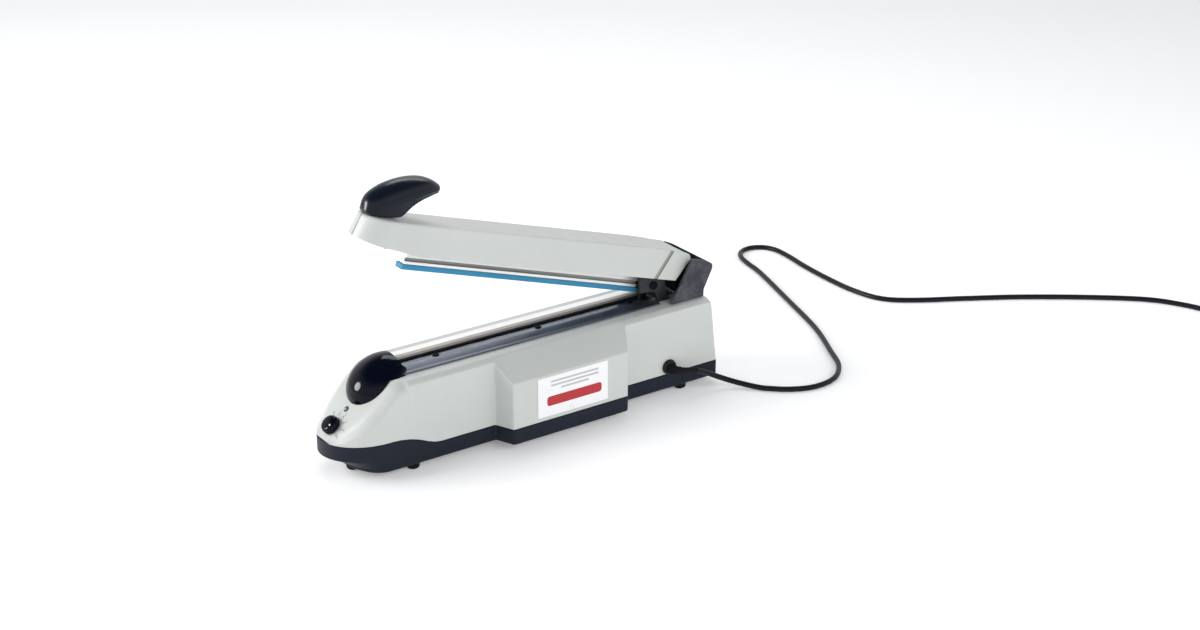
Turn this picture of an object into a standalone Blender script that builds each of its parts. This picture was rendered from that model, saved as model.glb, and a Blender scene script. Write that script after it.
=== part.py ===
"""Impulse heat sealer: a hand-pressed bar sealer on a long base, with its sealing arm raised.

The nose with the timer knob points to -X, the hinge is at +X, and the mains lead leaves on the -Y side.
Lengths are written in millimetres and multiplied by MM. The arm's pieces are drawn as if the arm were
closed, with the hinge axis as their origin, and an empty on that axis raises them to the open rest.
"""

import math

import bmesh
import bpy
from mathutils import Matrix, Vector
from mathutils.geometry import interpolate_bezier

MM = 0.001
GAP = 0.3                       # air between two pieces that touch
WALL = 2.5                      # moulded wall thickness
FAR = 400.0                     # cutter size, larger than the machine

# Base: plan, heights and nose
REAR_X = 229.0
CENTRE_Y = 10.5                 # centre plane of the base, the rail and the arm
HALF_WIDTH = 44.0
NOSE_START_X = -176.0           # where the straight sides turn into the rounded nose
NOSE_LENGTH = 53.0
REAR_RADIUS = 4.0
FOOT_HEIGHT = 8.0
SKIRT_TOP = 25.4
SKIRT_NOSE_TOP = 40.0
WAVE_FRONT_X, WAVE_REAR_X = -147.0, -119.0      # the seam drops between these two stations
PROW_NOSE_LENGTH, PROW_TIP_Z = 29.0, 24.0       # the nose is shorter at the bottom and sweeps up to its tip
DECK_Z = 99.0
SHOULDER_Z, SHOULDER_WIDTH = 95.0, 6.0
REAR_LEAN = 8.5                 # how far the rear wall leans forward at the deck
PANEL_ANGLE = math.radians(43.15)
PANEL_LOW_X = REAR_X - 456.0    # where the sloping control panel meets the skirt
DOME_CENTRE, DOME_RADII, DOME_PITCH = (-160.0, CENTRE_Y, 85.0), (36.5, 33.0, 27.0), math.radians(25.0)

# Transformer housing that swells out of the near side
BULGE_DEPTH = 21.0
BULGE_X = (-54.0, 107.0)        # at the side wall
BULGE_FACE_X = (-45.0, 96.0)    # at the outer face
BULGE_FACE_TOP = 75.5
LABEL_X, LABEL_Z, LABEL_THICKNESS = (-16.0, 70.0), (30.0, 73.5), 0.6

# Sealing rail and hot strip
ELEMENT_X = (-141.5, 158.5)     # 300 mm seal
RAIL_X = (-158.0, 165.0)
RAIL_TOP = 103.6
RAIL_HALF_TOP, RAIL_HALF_FOOT = 16.5, 26.5
RAIL_SHEET = 1.6
STRIP_HALF = 6.0
INSULATOR_TOP = 105.8
SEAL_PLANE = 106.7              # top of the release cloth

# Arm and hinge
PIVOT = (160.0, CENTRE_Y, 120.0)
OPEN_ANGLE = math.radians(17.86)
ARM_HALF_TOP, ARM_HALF_FOOT = 23.0, 27.0
ARM_NOSE_START, ARM_NOSE_REACH, ARM_NOSE_TAPER = 338.0, 22.5, 0.25     # rounded front end
PAD_THICKNESS = 4.8
PAD_LOW = SEAL_PLANE + GAP - PIVOT[2]
CHANNEL_LOW = PAD_LOW + PAD_THICKNESS
CHANNEL_TOP = 7.6
BAR_TOP = 34.6
PIN_RADIUS, BUSH_RADIUS = 3.0, 5.5
CHEEK_INNER, CHEEK_THICK = 17.0, 3.0

# Front panel pieces, as distances up the slope from its low edge
KNOB_UP, LED_UP = 16.4, 38.1
KNOB_RADIUS, KNOB_HEIGHT = 10.0, 9.0
SHAFT_RADIUS = 3.0
LED_RADIUS = 2.5

# Switch rod, stop and return spring
ROD_X, ROD_Y, ROD_RADIUS = 150.0, 2.0, 2.0
ROD_TOP, ROD_LOW = 113.1, 91.0
SPRING_X, SPRING_RADIUS, SPRING_WIRE = 190.0, 5.5, 0.9
SPRING_LOW, SPRING_TURNS = 62.0, 9
SLOT_HALF = 9.0

# Mains lead
CORD_DIAMETER = 6.0
GLAND_X, GLAND_Z = 164.0, 33.0
COIL_CENTRE = (856.0, -226.0)
COIL_MEAN_RADIUS = 33.0
PLUG_HEADING = math.radians(38.6)       # the lead leaves the coil along a tangent, straight into the plug
PLUG_DISTANCE, PLUG_AXIS_Z = 48.0, 6.5

SMOOTH_ANGLE = math.radians(35.0)


def clear_scene():
    for obj in list(bpy.data.objects):
        bpy.data.objects.remove(obj, do_unlink=True)


# ---------------------------------------------------------------- materials

def material(name, colour, roughness, metallic=0.0):
    mat = bpy.data.materials.new(name)
    mat.use_nodes = True
    shader = mat.node_tree.nodes["Principled BSDF"]
    shader.inputs["Base Color"].default_value = (*colour, 1.0)
    shader.inputs["Roughness"].default_value = roughness
    shader.inputs["Metallic"].default_value = metallic
    return mat


# ---------------------------------------------------------------- mesh helpers

def finish(name, bm, mat, parent=None):
    """Turns a bmesh drawn in millimetres into a named object."""
    bmesh.ops.recalc_face_normals(bm, faces=bm.faces)
    bmesh.ops.scale(bm, vec=(MM, MM, MM), verts=bm.verts)
    mesh = bpy.data.meshes.new(name)
    bm.to_mesh(mesh)
    bm.free()
    mesh.shade_smooth()
    mesh.set_sharp_from_angle(angle=SMOOTH_ANGLE)
    obj = bpy.data.objects.new(name, mesh)
    bpy.context.scene.collection.objects.link(obj)
    if mat is not None:
        mesh.materials.append(mat)
    if parent is not None:
        obj.parent = parent
    return obj


def prism(points, axis, low, high):
    """A closed outline, in the plane across the axis, drawn out from low to high along it."""
    place = {
        "X": lambda p, t: (t, p[0], p[1]),
        "Y": lambda p, t: (p[0], t, p[1]),
        "Z": lambda p, t: (p[0], p[1], t),
    }[axis]
    bm = bmesh.new()
    ends = [[bm.verts.new(place(p, t)) for p in points] for t in (low, high)]
    for ring in ends:
        bm.faces.new(ring)
    for k in range(len(points)):
        j = (k + 1) % len(points)
        bm.faces.new((ends[0][k], ends[0][j], ends[1][j], ends[1][k]))
    return bm


def box(low, high):
    plan = [(low[0], low[1]), (high[0], low[1]), (high[0], high[1]), (low[0], high[1])]
    return prism(plan, "Z", low[2], high[2])


def loft(rings):
    """Skins rings that have the same number of points, and closes both ends."""
    bm = bmesh.new()
    loops = [[bm.verts.new(p) for p in ring] for ring in rings]
    count = len(rings[0])
    for a, b in zip(loops, loops[1:]):
        for k in range(count):
            j = (k + 1) % count
            bm.faces.new((a[k], a[j], b[j], b[k]))
    bm.faces.new(loops[0])
    bm.faces.new(loops[-1])
    return bm


def rod(radius, low, high, centre=(0.0, 0.0, 0.0), axis="Z", sides=20):
    """A round bar or disc from low to high along the axis through the centre."""
    across = {"X": (centre[1], centre[2]), "Y": (centre[0], centre[2]), "Z": (centre[0], centre[1])}[axis]
    return prism(circle(radius, sides, across), axis, low, high)


def circle(radius, sides, centre=(0.0, 0.0)):
    steps = [2 * math.pi * k / sides for k in range(sides)]
    return [(centre[0] + radius * math.cos(a), centre[1] + radius * math.sin(a)) for a in steps]


def turned(profile, sides=24):
    """A solid turned about Z from (radius, height) points that start and end on the axis."""
    bm = bmesh.new()
    axis_low = bm.verts.new((0.0, 0.0, profile[0][1]))
    axis_high = bm.verts.new((0.0, 0.0, profile[-1][1]))
    rings = [[bm.verts.new((*p, z)) for p in circle(r, sides)] for r, z in profile[1:-1]]
    for a, b in zip(rings, rings[1:]):
        for k in range(sides):
            j = (k + 1) % sides
            bm.faces.new((a[k], a[j], b[j], b[k]))
    for k in range(sides):
        j = (k + 1) % sides
        bm.faces.new((axis_low, rings[0][j], rings[0][k]))
        bm.faces.new((axis_high, rings[-1][k], rings[-1][j]))
    return bm


def ring_solid(outline, sides=24):
    """A closed (radius, height) outline turned about Z, with a hole through its middle."""
    bm = bmesh.new()
    columns = []
    for k in range(sides):
        a = 2 * math.pi * k / sides
        columns.append([bm.verts.new((r * math.cos(a), r * math.sin(a), z)) for r, z in outline])
    for k in range(sides):
        near, far = columns[k], columns[(k + 1) % sides]
        for i in range(len(outline)):
            j = (i + 1) % len(outline)
            bm.faces.new((near[i], far[i], far[j], near[j]))
    return bm


def shape(obj, operation, bm):
    """Cuts, joins or intersects an object with a second solid, which stays hidden as a guide."""
    cutter = finish(f"{obj.name}_{operation.lower()}_{len(obj.modifiers)}", bm, None, obj.parent)
    cutter.hide_render = True
    cutter.display_type = "WIRE"
    modifier = obj.modifiers.new(cutter.name, "BOOLEAN")
    modifier.operation = operation
    modifier.solver = "EXACT"
    modifier.object = cutter
    return obj


def tube(name, points, radius, mat, resolution=3, parent=None):
    """A round cord or wire along points, as a curve with closed ends."""
    curve = bpy.data.curves.new(name, "CURVE")
    curve.dimensions = "3D"
    curve.bevel_depth = radius * MM
    curve.bevel_resolution = resolution
    curve.use_fill_caps = True
    spline = curve.splines.new("POLY")
    spline.points.add(len(points) - 1)
    for point, place in zip(spline.points, points):
        point.co = (place[0] * MM, place[1] * MM, place[2] * MM, 1.0)
    curve.materials.append(mat)
    obj = bpy.data.objects.new(name, curve)
    bpy.context.scene.collection.objects.link(obj)
    obj.parent = parent
    return obj


def smooth_route(route, spacing):
    """Points about one spacing apart on a smooth curve through the route's own points."""
    points = [Vector(p) for p in route]
    slopes = [(b - a) / 2 for a, b in zip(points, points[2:])]
    slopes = [points[1] - points[0], *slopes, points[-1] - points[-2]]
    dense = []
    for a, b, ta, tb in zip(points, points[1:], slopes, slopes[1:]):
        steps = max(2, round((b - a).length / spacing))
        dense += interpolate_bezier(a, a + ta / 3, b - tb / 3, b, steps + 1)[:-1]
    return [tuple(p) for p in dense] + [tuple(points[-1])]


# ---------------------------------------------------------------- outlines of the base

def base_plan(inset, nose=NOSE_LENGTH):
    """Plan of the base: a half ellipse for the nose, straight sides and round rear corners."""
    points = []
    length, half = nose - inset, HALF_WIDTH - inset
    for k in range(21):
        a = math.pi / 2 + math.pi * k / 20
        points.append((NOSE_START_X + length * math.cos(a), CENTRE_Y + half * math.sin(a)))
    radius = REAR_RADIUS - inset
    corner = REAR_X - inset - radius
    for side, start in ((-1, -math.pi / 2), (1, 0.0)):
        for k in range(4):
            a = start + math.pi / 2 * k / 3
            y = CENTRE_Y + side * (half - radius) + radius * math.sin(a)
            points.append((corner + radius * math.cos(a), y))
    return points


def seam(lift=0.0):
    """The line, seen from the side, where the grey shell meets the dark skirt."""
    points = [(-FAR, SKIRT_NOSE_TOP + lift)]
    drop = SKIRT_NOSE_TOP - SKIRT_TOP
    for k in range(9):
        t = k / 8
        x = WAVE_FRONT_X + (WAVE_REAR_X - WAVE_FRONT_X) * t
        points.append((x, SKIRT_NOSE_TOP - drop * (1 - math.cos(math.pi * t)) / 2 + lift))
    return points + [(FAR, SKIRT_TOP + lift)]


def panel_point(up, out=0.0):
    """A point of the control panel: up its slope from the low edge, and out from its face."""
    x = PANEL_LOW_X + up * math.cos(PANEL_ANGLE) - out * math.sin(PANEL_ANGLE)
    z = SKIRT_NOSE_TOP + up * math.sin(PANEL_ANGLE) + out * math.cos(PANEL_ANGLE)
    return x, z


def upper_profile(inset):
    """Side view above the seam: sloping control panel, flat deck and leaning rear wall."""
    low = panel_point(-30.0, -inset)
    deck = DECK_Z - inset
    meet = low[0] + (deck - low[1]) / math.tan(PANEL_ANGLE)
    return [(low[0], low[1]), (meet, deck), (REAR_X - REAR_LEAN - inset, deck), (REAR_X - inset, SKIRT_TOP),
            (REAR_X - inset, low[1])]


def cross_section(inset):
    """Front view: upright sides with a sloping shoulder up to the deck."""
    half, deck = HALF_WIDTH - inset, DECK_Z - inset
    rise = DECK_Z - SHOULDER_Z
    right = [(half + 1.0, 0.0), (half + 1.0, SHOULDER_Z - inset - rise / SHOULDER_WIDTH)]
    right += [(half, SHOULDER_Z - inset), (half - SHOULDER_WIDTH, deck)]
    return [(CENTRE_Y + y, z) for y, z in right] + [(CENTRE_Y - y, z) for y, z in reversed(right)]


def bulge_plan(inset):
    side, face = CENTRE_Y - HALF_WIDTH + 12.0, CENTRE_Y - HALF_WIDTH - BULGE_DEPTH + inset
    slope = (BULGE_FACE_X[0] - BULGE_X[0]) / BULGE_DEPTH
    root = 12.0 * slope
    return [(BULGE_X[0] - root + inset, side), (BULGE_FACE_X[0] + inset, face),
            (BULGE_FACE_X[1] - inset, face), (BULGE_X[1] + root - inset, side)]


def bulge_section(inset):
    near = CENTRE_Y - HALF_WIDTH
    face = near - BULGE_DEPTH + inset
    return [(face, 0.0), (face, BULGE_FACE_TOP - inset), (near + 5.9, DECK_Z - 0.5 - inset),
            (near + 11.0, DECK_Z - 0.5 - inset), (near + 11.0, 0.0)]


def above(line):
    return [*line, (FAR, FAR), (-FAR, FAR)]


def below(line):
    return [*line, (FAR, -FAR), (-FAR, -FAR)]


def solid_of(bm_list):
    """Intersects several solids and returns the result as one bmesh, in millimetres."""
    first = finish("guide_solid", bm_list[0], None)
    for bm in bm_list[1:]:
        shape(first, "INTERSECT", bm)
    return take(first)


def take(obj):
    """Evaluates a guide object, removes it with its cutters and returns its bmesh in millimetres."""
    depsgraph = bpy.context.evaluated_depsgraph_get()
    bm = bmesh.new()
    bm.from_object(obj, depsgraph)
    cutters = [m.object for m in obj.modifiers]
    for guide in (*cutters, obj):
        bpy.data.objects.remove(guide, do_unlink=True)
    bmesh.ops.scale(bm, vec=(1 / MM, 1 / MM, 1 / MM), verts=bm.verts)
    return bm


def base_solid(inset, low_z, high_z):
    """The filled outer form of the base, bulge included, between two heights."""
    body = finish("guide_base", prism(base_plan(inset), "Z", low_z, high_z), None)
    shape(body, "INTERSECT", prism(cross_section(inset), "X", -FAR, FAR))
    shape(body, "INTERSECT", prism(upper_profile(inset), "Y", -FAR, FAR))
    bulge = solid_of([prism(bulge_plan(inset), "Z", low_z, high_z),
                      prism(bulge_section(inset), "X", -FAR, FAR)])
    shape(body, "UNION", bulge)
    return take(body)


# ---------------------------------------------------------------- base pieces

def make_base(mats):
    tray = finish("base_tray", skirt_solid(0.0), mats["navy"])
    shape(tray, "INTERSECT", prism(below(seam()), "Y", -FAR, FAR))
    shape(tray, "DIFFERENCE", skirt_solid(WALL))

    shell = finish("body_shell", base_solid(0.0, 5.0, DECK_Z + 20.0), mats["grey"])
    shape(shell, "INTERSECT", prism(above(seam(GAP)), "Y", -FAR, FAR))
    shape(shell, "DIFFERENCE", base_solid(WALL, 0.0, DECK_Z + 20.0))
    slot_low, slot_high = DECK_Z - 10.0, DECK_Z + 10.0
    shape(shell, "DIFFERENCE", box((SPRING_X - SLOT_HALF, CENTRE_Y - SLOT_HALF, slot_low),
                                   (SPRING_X + SLOT_HALF, CENTRE_Y + SLOT_HALF, slot_high)))
    shape(shell, "DIFFERENCE", rod(ROD_RADIUS + 0.8, slot_low, slot_high, (ROD_X, ROD_Y, 0.0)))
    pocket_low, pocket_high = label_box(GAP)
    shape(shell, "DIFFERENCE", box(pocket_low, pocket_high))
    near = CENTRE_Y - HALF_WIDTH
    shape(shell, "DIFFERENCE", rod(6.0 + GAP, near - 5.0, near + 5.0, (GLAND_X, 0.0, GLAND_Z), "Y"))
    for up, radius in ((KNOB_UP, SHAFT_RADIUS + 0.8), (LED_UP, LED_RADIUS + GAP)):
        hole = rod(radius, -8.0, 8.0)
        on_panel(hole, up)
        shape(shell, "DIFFERENCE", hole)


def skirt_solid(inset):
    """The filled form of the skirt, whose underside sweeps up towards the nose like a prow."""
    levels = ((FOOT_HEIGHT + inset, PROW_NOSE_LENGTH), (PROW_TIP_Z + inset, NOSE_LENGTH), (60.0, NOSE_LENGTH))
    hull = loft([[(*p, z) for p in base_plan(inset, nose)] for z, nose in levels])
    skirt = finish("guide_skirt", hull, None)
    shape(skirt, "UNION", prism(bulge_plan(inset), "Z", FOOT_HEIGHT + inset, 60.0))
    return take(skirt)


def on_panel(bm, up, out=0.0):
    """Moves a piece drawn about Z so that it stands on the control panel."""
    x, z = panel_point(up, out)
    turn = Matrix.Rotation(-PANEL_ANGLE, 4, "Y")
    bmesh.ops.transform(bm, matrix=Matrix.Translation((x, CENTRE_Y, z)) @ turn, verts=bm.verts)


def make_feet(mats):
    inner = HALF_WIDTH - 11.0
    places = {
        "foot_nose": (-195.0, CENTRE_Y),
        "foot_front_near": (-145.0, CENTRE_Y - inner),
        "foot_front_far": (-145.0, CENTRE_Y + inner),
        "foot_rear_near": (187.0, CENTRE_Y - inner),
        "foot_rear_far": (187.0, CENTRE_Y + inner),
    }
    profile = [(0.0, 0.0), (5.4, 0.0), (6.4, 1.0), (7.0, FOOT_HEIGHT - GAP), (0.0, FOOT_HEIGHT - GAP)]
    for name, (x, y) in places.items():
        foot = finish(name, turned(profile, 20), mats["rubber"])
        foot.location = (x * MM, y * MM, 0.0)


def make_dome(mats):
    """Glossy cover over the front end of the rail, trimmed to the panel, the deck and the rail."""
    dome = finish("front_dome", ellipsoid(DOME_RADII), mats["gloss"])
    shape(dome, "DIFFERENCE", base_solid(-GAP, 0.0, DECK_Z + 20.0))
    rear = [(-142.5, 0.0), (-142.5, 104.6), (-145.8, 106.6), (-150.5, 123.0), (-260.0, 123.0), (-260.0, 0.0)]
    shape(dome, "INTERSECT", prism(rear, "Y", -FAR, FAR))
    shape(dome, "DIFFERENCE", ellipsoid([r - WALL for r in DOME_RADII]))
    shape(dome, "DIFFERENCE", rail_form(GAP, -170.0, -130.0))


def ellipsoid(radii, sides=28, rows=14):
    """An ellipsoid about the dome's centre, pitched down towards the nose."""
    profile = []
    for k in range(rows + 1):
        a = math.pi * k / rows
        profile.append((abs(math.sin(a)), -math.cos(a)))
    profile[0], profile[-1] = (0.0, -1.0), (0.0, 1.0)
    bm = turned(profile, sides)
    bmesh.ops.scale(bm, vec=radii, verts=bm.verts)
    place = Matrix.Translation(DOME_CENTRE) @ Matrix.Rotation(-DOME_PITCH, 4, "Y")
    bmesh.ops.transform(bm, matrix=place, verts=bm.verts)
    return bm


# ---------------------------------------------------------------- rail and hot strip

def rail_form(grow, x_low, x_high):
    """Filled outline of the rail with its insulator and cloth, for clearance cuts."""
    top, half, foot = RAIL_TOP + grow, RAIL_HALF_TOP + grow, RAIL_HALF_FOOT + grow
    strip, cloth = STRIP_HALF + grow + 0.4, SEAL_PLANE + grow
    right = [(foot, 0.0), (foot, DECK_Z + GAP + RAIL_SHEET + grow), (half, top), (strip, top), (strip, cloth)]
    outline = [(CENTRE_Y + y, z) for y, z in right] + [(CENTRE_Y - y, z) for y, z in reversed(right)]
    return prism(outline, "X", x_low, x_high)


def make_rail(mats):
    low, thick = DECK_Z + GAP, RAIL_SHEET
    outer = [(RAIL_HALF_FOOT, low), (RAIL_HALF_FOOT, low + thick), (RAIL_HALF_TOP, RAIL_TOP)]
    inner = [(RAIL_HALF_TOP - thick, RAIL_TOP - thick), (RAIL_HALF_FOOT - 4.5, low)]
    outline = [(CENTRE_Y + y, z) for y, z in outer] + [(CENTRE_Y - y, z) for y, z in reversed(outer)]
    outline += [(CENTRE_Y - y, z) for y, z in reversed(inner)] + [(CENTRE_Y + y, z) for y, z in inner]
    rail = finish("seal_rail", prism(outline, "X", *RAIL_X), mats["aluminium"])
    shape(rail, "DIFFERENCE", rod(ROD_RADIUS + 0.8, 90.0, 110.0, (ROD_X, ROD_Y, 0.0)))
    screw_y = 11.0
    stations = (-102.0, 20.0, 136.0)
    screw = [(0.0, RAIL_TOP + GAP), (3.6, RAIL_TOP + GAP), (3.6, RAIL_TOP + 1.0), (2.8, RAIL_TOP + 1.7),
             (0.0, RAIL_TOP + 1.7)]
    for k, x in enumerate(stations, 1):
        head = finish(f"rail_screw_{k}", turned(screw, 12), mats["steel_dark"])
        head.location = (x * MM, (CENTRE_Y - screw_y) * MM, 0.0)

    strip = (CENTRE_Y - STRIP_HALF, CENTRE_Y + STRIP_HALF)
    low = RAIL_TOP + GAP
    finish("element_insulator", box((-150.0, strip[0], low), (161.5, strip[1], INSULATOR_TOP - 0.8)),
           mats["phenolic"])
    wire_half = 1.6
    wire_top = INSULATOR_TOP - 0.8 + GAP + 0.25
    finish("heating_element", box((ELEMENT_X[0] - 6.0, CENTRE_Y - wire_half, wire_top - 0.25),
                                  (ELEMENT_X[1] + 3.0, CENTRE_Y + wire_half, wire_top)), mats["nichrome"])
    cloth = [(-STRIP_HALF - 0.2, INSULATOR_TOP - 0.2), (-STRIP_HALF - 0.2, SEAL_PLANE - 0.35),
             (-2.5, SEAL_PLANE), (2.5, SEAL_PLANE), (STRIP_HALF + 0.2, SEAL_PLANE - 0.35),
             (STRIP_HALF + 0.2, INSULATOR_TOP - 0.2)]
    cloth = [(CENTRE_Y + y, z) for y, z in cloth]
    finish("release_cloth", prism(cloth, "X", ELEMENT_X[0], ELEMENT_X[1]), mats["cloth"])
    for name, x in (("element_clamp_front", ELEMENT_X[0] - 8.0), ("element_clamp_rear", ELEMENT_X[1] + 0.6)):
        span = 5.5 if name.endswith("front") else 2.2
        finish(name, box((x, CENTRE_Y - 4.0, wire_top + GAP), (x + span, CENTRE_Y + 4.0, wire_top + GAP + 1.2)),
               mats["brass"])


# ---------------------------------------------------------------- inside the base

def make_inside(mats):
    core_low, core_high = (-12.0, -36.0, 14.0), (60.0, 0.0, 74.0)
    core = finish("transformer_core", box(core_low, core_high), mats["lamination"])
    leg, yoke = 12.0, 12.0
    middle = (core_low[0] + core_high[0]) / 2
    for x0, x1 in ((core_low[0] + leg, middle - leg), (middle + leg, core_high[0] - leg)):
        shape(core, "DIFFERENCE", box((x0, core_low[1] - 5.0, core_low[2] + yoke),
                                      (x1, core_high[1] + 5.0, core_high[2] - yoke)))
    ring_low = (core_low[0] + leg + 0.6, core_low[1] - 9.0, core_low[2] + yoke + 0.6)
    ring_high = (core_high[0] - leg - 0.6, core_high[1] + 9.0, core_high[2] - yoke - 0.6)
    coil = finish("transformer_coil", box(ring_low, ring_high), mats["winding"])
    shape(coil, "DIFFERENCE", box((middle - leg - 0.6, core_low[1] - 0.6, 0.0),
                                  (middle + leg + 0.6, core_high[1] + 0.6, 90.0)))
    bracket_low = (core_low[0] - 10.0, core_low[1] + 4.0, FOOT_HEIGHT + WALL + GAP)
    finish("transformer_bracket", box(bracket_low, (core_high[0] + 10.0, core_high[1] - 4.0, 13.4)),
           mats["steel"])

    board = box((-13.0, -19.0, -1.6), (23.0, 19.0, 0.0))
    on_panel(board, KNOB_UP + 4.0, -15.0)
    finish("timer_board", board, mats["circuit"])
    pot = ring_solid([(SHAFT_RADIUS + 0.4, -14.5), (8.5, -14.5), (8.5, -5.0), (SHAFT_RADIUS + 0.4, -5.0)], 20)
    on_panel(pot, KNOB_UP)
    finish("timer_pot", pot, mats["steel"])
    relay = box((14.0, -14.0, -14.6), (26.0, 2.0, -6.0))
    on_panel(relay, KNOB_UP)
    finish("timer_relay", relay, mats["plastic_blue"])
    led = turned([(0.0, -6.0), (LED_RADIUS, -6.0), (LED_RADIUS, 0.6), (1.6, 1.9), (0.0, 2.2)], 16)
    on_panel(led, LED_UP)
    finish("status_led", led, mats["led"])

    switch_top = ROD_LOW - 2.9
    finish("micro_switch", box((ROD_X - 14.0, ROD_Y - 3.2, switch_top - 16.0),
                               (ROD_X + 6.0, ROD_Y + 3.2, switch_top)), mats["plastic_black"])
    floor = FOOT_HEIGHT + WALL + GAP
    finish("terminal_block", box((120.0, -18.0, floor), (148.0, 0.0, 26.0)), mats["plastic_white"])
    post_top = SPRING_LOW - SPRING_WIRE - GAP
    finish("spring_post", box((SPRING_X - 7.0, CENTRE_Y - 7.0, floor), (SPRING_X + 7.0, CENTRE_Y + 7.0, post_top)),
           mats["steel"])
    turns = []
    height = spring_height()
    per_turn = 10
    for k in range(SPRING_TURNS * per_turn + 1):
        a = 2 * math.pi * k / per_turn
        turns.append((SPRING_X + SPRING_RADIUS * math.cos(a), CENTRE_Y + SPRING_RADIUS * math.sin(a),
                      SPRING_LOW + height * k / (SPRING_TURNS * per_turn)))
    tube("return_spring", turns, SPRING_WIRE, mats["steel"], 1)


def spring_height():
    """From the post up to just under the tail cap of the open arm."""
    return tail_low_z() - SPRING_WIRE - 2 * GAP - SPRING_LOW


def tail_low_z():
    """Lowest point of the raised arm's tail over the spring."""
    s, h = -44.0, -4.0
    return PIVOT[2] + s * math.sin(OPEN_ANGLE) + h * math.cos(OPEN_ANGLE)


# ---------------------------------------------------------------- hinge and rear guard

def make_hinge(mats):
    low = DECK_Z + GAP
    foot = 3.0
    front, rear = RAIL_X[1] + 2.0, 181.0
    outer = CHEEK_INNER + CHEEK_THICK
    plate = box((front, CENTRE_Y - outer, low), (rear, CENTRE_Y + outer, low + foot))
    bracket = finish("hinge_bracket", plate, mats["matte_black"])
    cheek = [(front, low + 0.5), (rear - 0.5, low + 0.5), (176.0, 118.0), (171.0, 132.5), (142.0, 132.5),
             (142.5, 114.8), (162.0, 112.8)]
    for side in (-1, 1):
        y = sorted((CENTRE_Y + side * CHEEK_INNER, CENTRE_Y + side * outer))
        shape(bracket, "UNION", prism(cheek, "Y", *y))
    shape(bracket, "DIFFERENCE", rod(PIN_RADIUS + GAP, -FAR, FAR, (PIVOT[0], 0.0, PIVOT[2]), "Y"))
    head = 4.6
    end = outer + 0.6
    pin_half = [(0.0, -end - 1.6), (head, -end - 1.6), (head, -end), (PIN_RADIUS, -end), (PIN_RADIUS, end),
                (head, end), (head, end + 1.6), (0.0, end + 1.6)]
    pin = turned(pin_half, 20)
    place = Matrix.Translation(PIVOT) @ Matrix.Rotation(math.pi / 2, 4, "X")
    bmesh.ops.transform(pin, matrix=place, verts=pin.verts)
    finish("hinge_pin", pin, mats["steel"])
    screw = [(0.0, low + foot + GAP), (2.6, low + foot + GAP), (2.6, low + foot + 1.6), (0.0, low + foot + 2.0)]
    for k, side in enumerate((-1, 1), 1):
        bolt = finish(f"bracket_screw_{k}", turned(screw, 12), mats["steel_dark"])
        bolt.location = (172.0 * MM, (CENTRE_Y + side * 13.0) * MM, 0.0)

    guard_outer, guard_thick = HALF_WIDTH - 10.0, 3.0
    side_plate = [(174.0, low), (201.0, 144.6), (215.0, 140.5), (226.5, 134.0), (228.0, 130.0), (216.5, 107.1),
                  (216.3, low)]
    guard = finish("rear_guard", prism(side_plate, "Y", CENTRE_Y - guard_outer, CENTRE_Y + guard_outer),
                   mats["guard"])
    inner = guard_outer - guard_thick
    cavity = [(150.0, low - 5.0), (150.0, 160.0), (224.0, 160.0), (224.6, 130.4), (213.4, 108.0),
              (213.4, low - 5.0)]
    shape(guard, "DIFFERENCE", prism(cavity, "Y", CENTRE_Y - inner, CENTRE_Y + inner))
    finish("stop_buffer", box((198.5, CENTRE_Y - 9.0, low), (206.5, CENTRE_Y + 9.0, low + 2.4)), mats["rubber"])


# ---------------------------------------------------------------- arm

def arm_width(h):
    """Half width of the arm shell, which widens from its top to its lower edge."""
    return ARM_HALF_TOP + (ARM_HALF_FOOT - ARM_HALF_TOP) * (40.0 - h) / 33.0


def arm_shell_form(inset):
    """Filled form of the arm's cover: drafted sides, rounded front end and slanted rear end."""
    rings = []
    for h in (-10.0, 60.0):
        half = arm_width(h) - inset
        length = ARM_NOSE_REACH - inset + (40.0 - h) * ARM_NOSE_TAPER
        plan = []
        for k in range(13):
            a = math.pi / 2 + math.pi * k / 12
            plan.append((-ARM_NOSE_START + length * math.cos(a), half * math.sin(a), h))
        plan += [(80.0, -half, h), (80.0, half, h)]
        rings.append(plan)
    return loft(rings)


def arm_side(inset, low_cut):
    """Side view of the arm's cover, in distances from the hinge: (-s, h)."""
    top = [(38.0 - inset, 35.0 - inset), (27.0, 40.6 - inset), (-330.0, 37.4 - inset), (-390.0, 37.4 - inset)]
    if low_cut:
        return [*top, (-390.0, -50.0), (38.0 - inset, -50.0)]
    low = [(-390.0, 18.0), (-372.0, 16.0), (-349.0, 12.0), (-326.0, 9.0), (-302.0, 6.3), (22.3, 9.2)]
    return [*top, *low]


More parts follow.
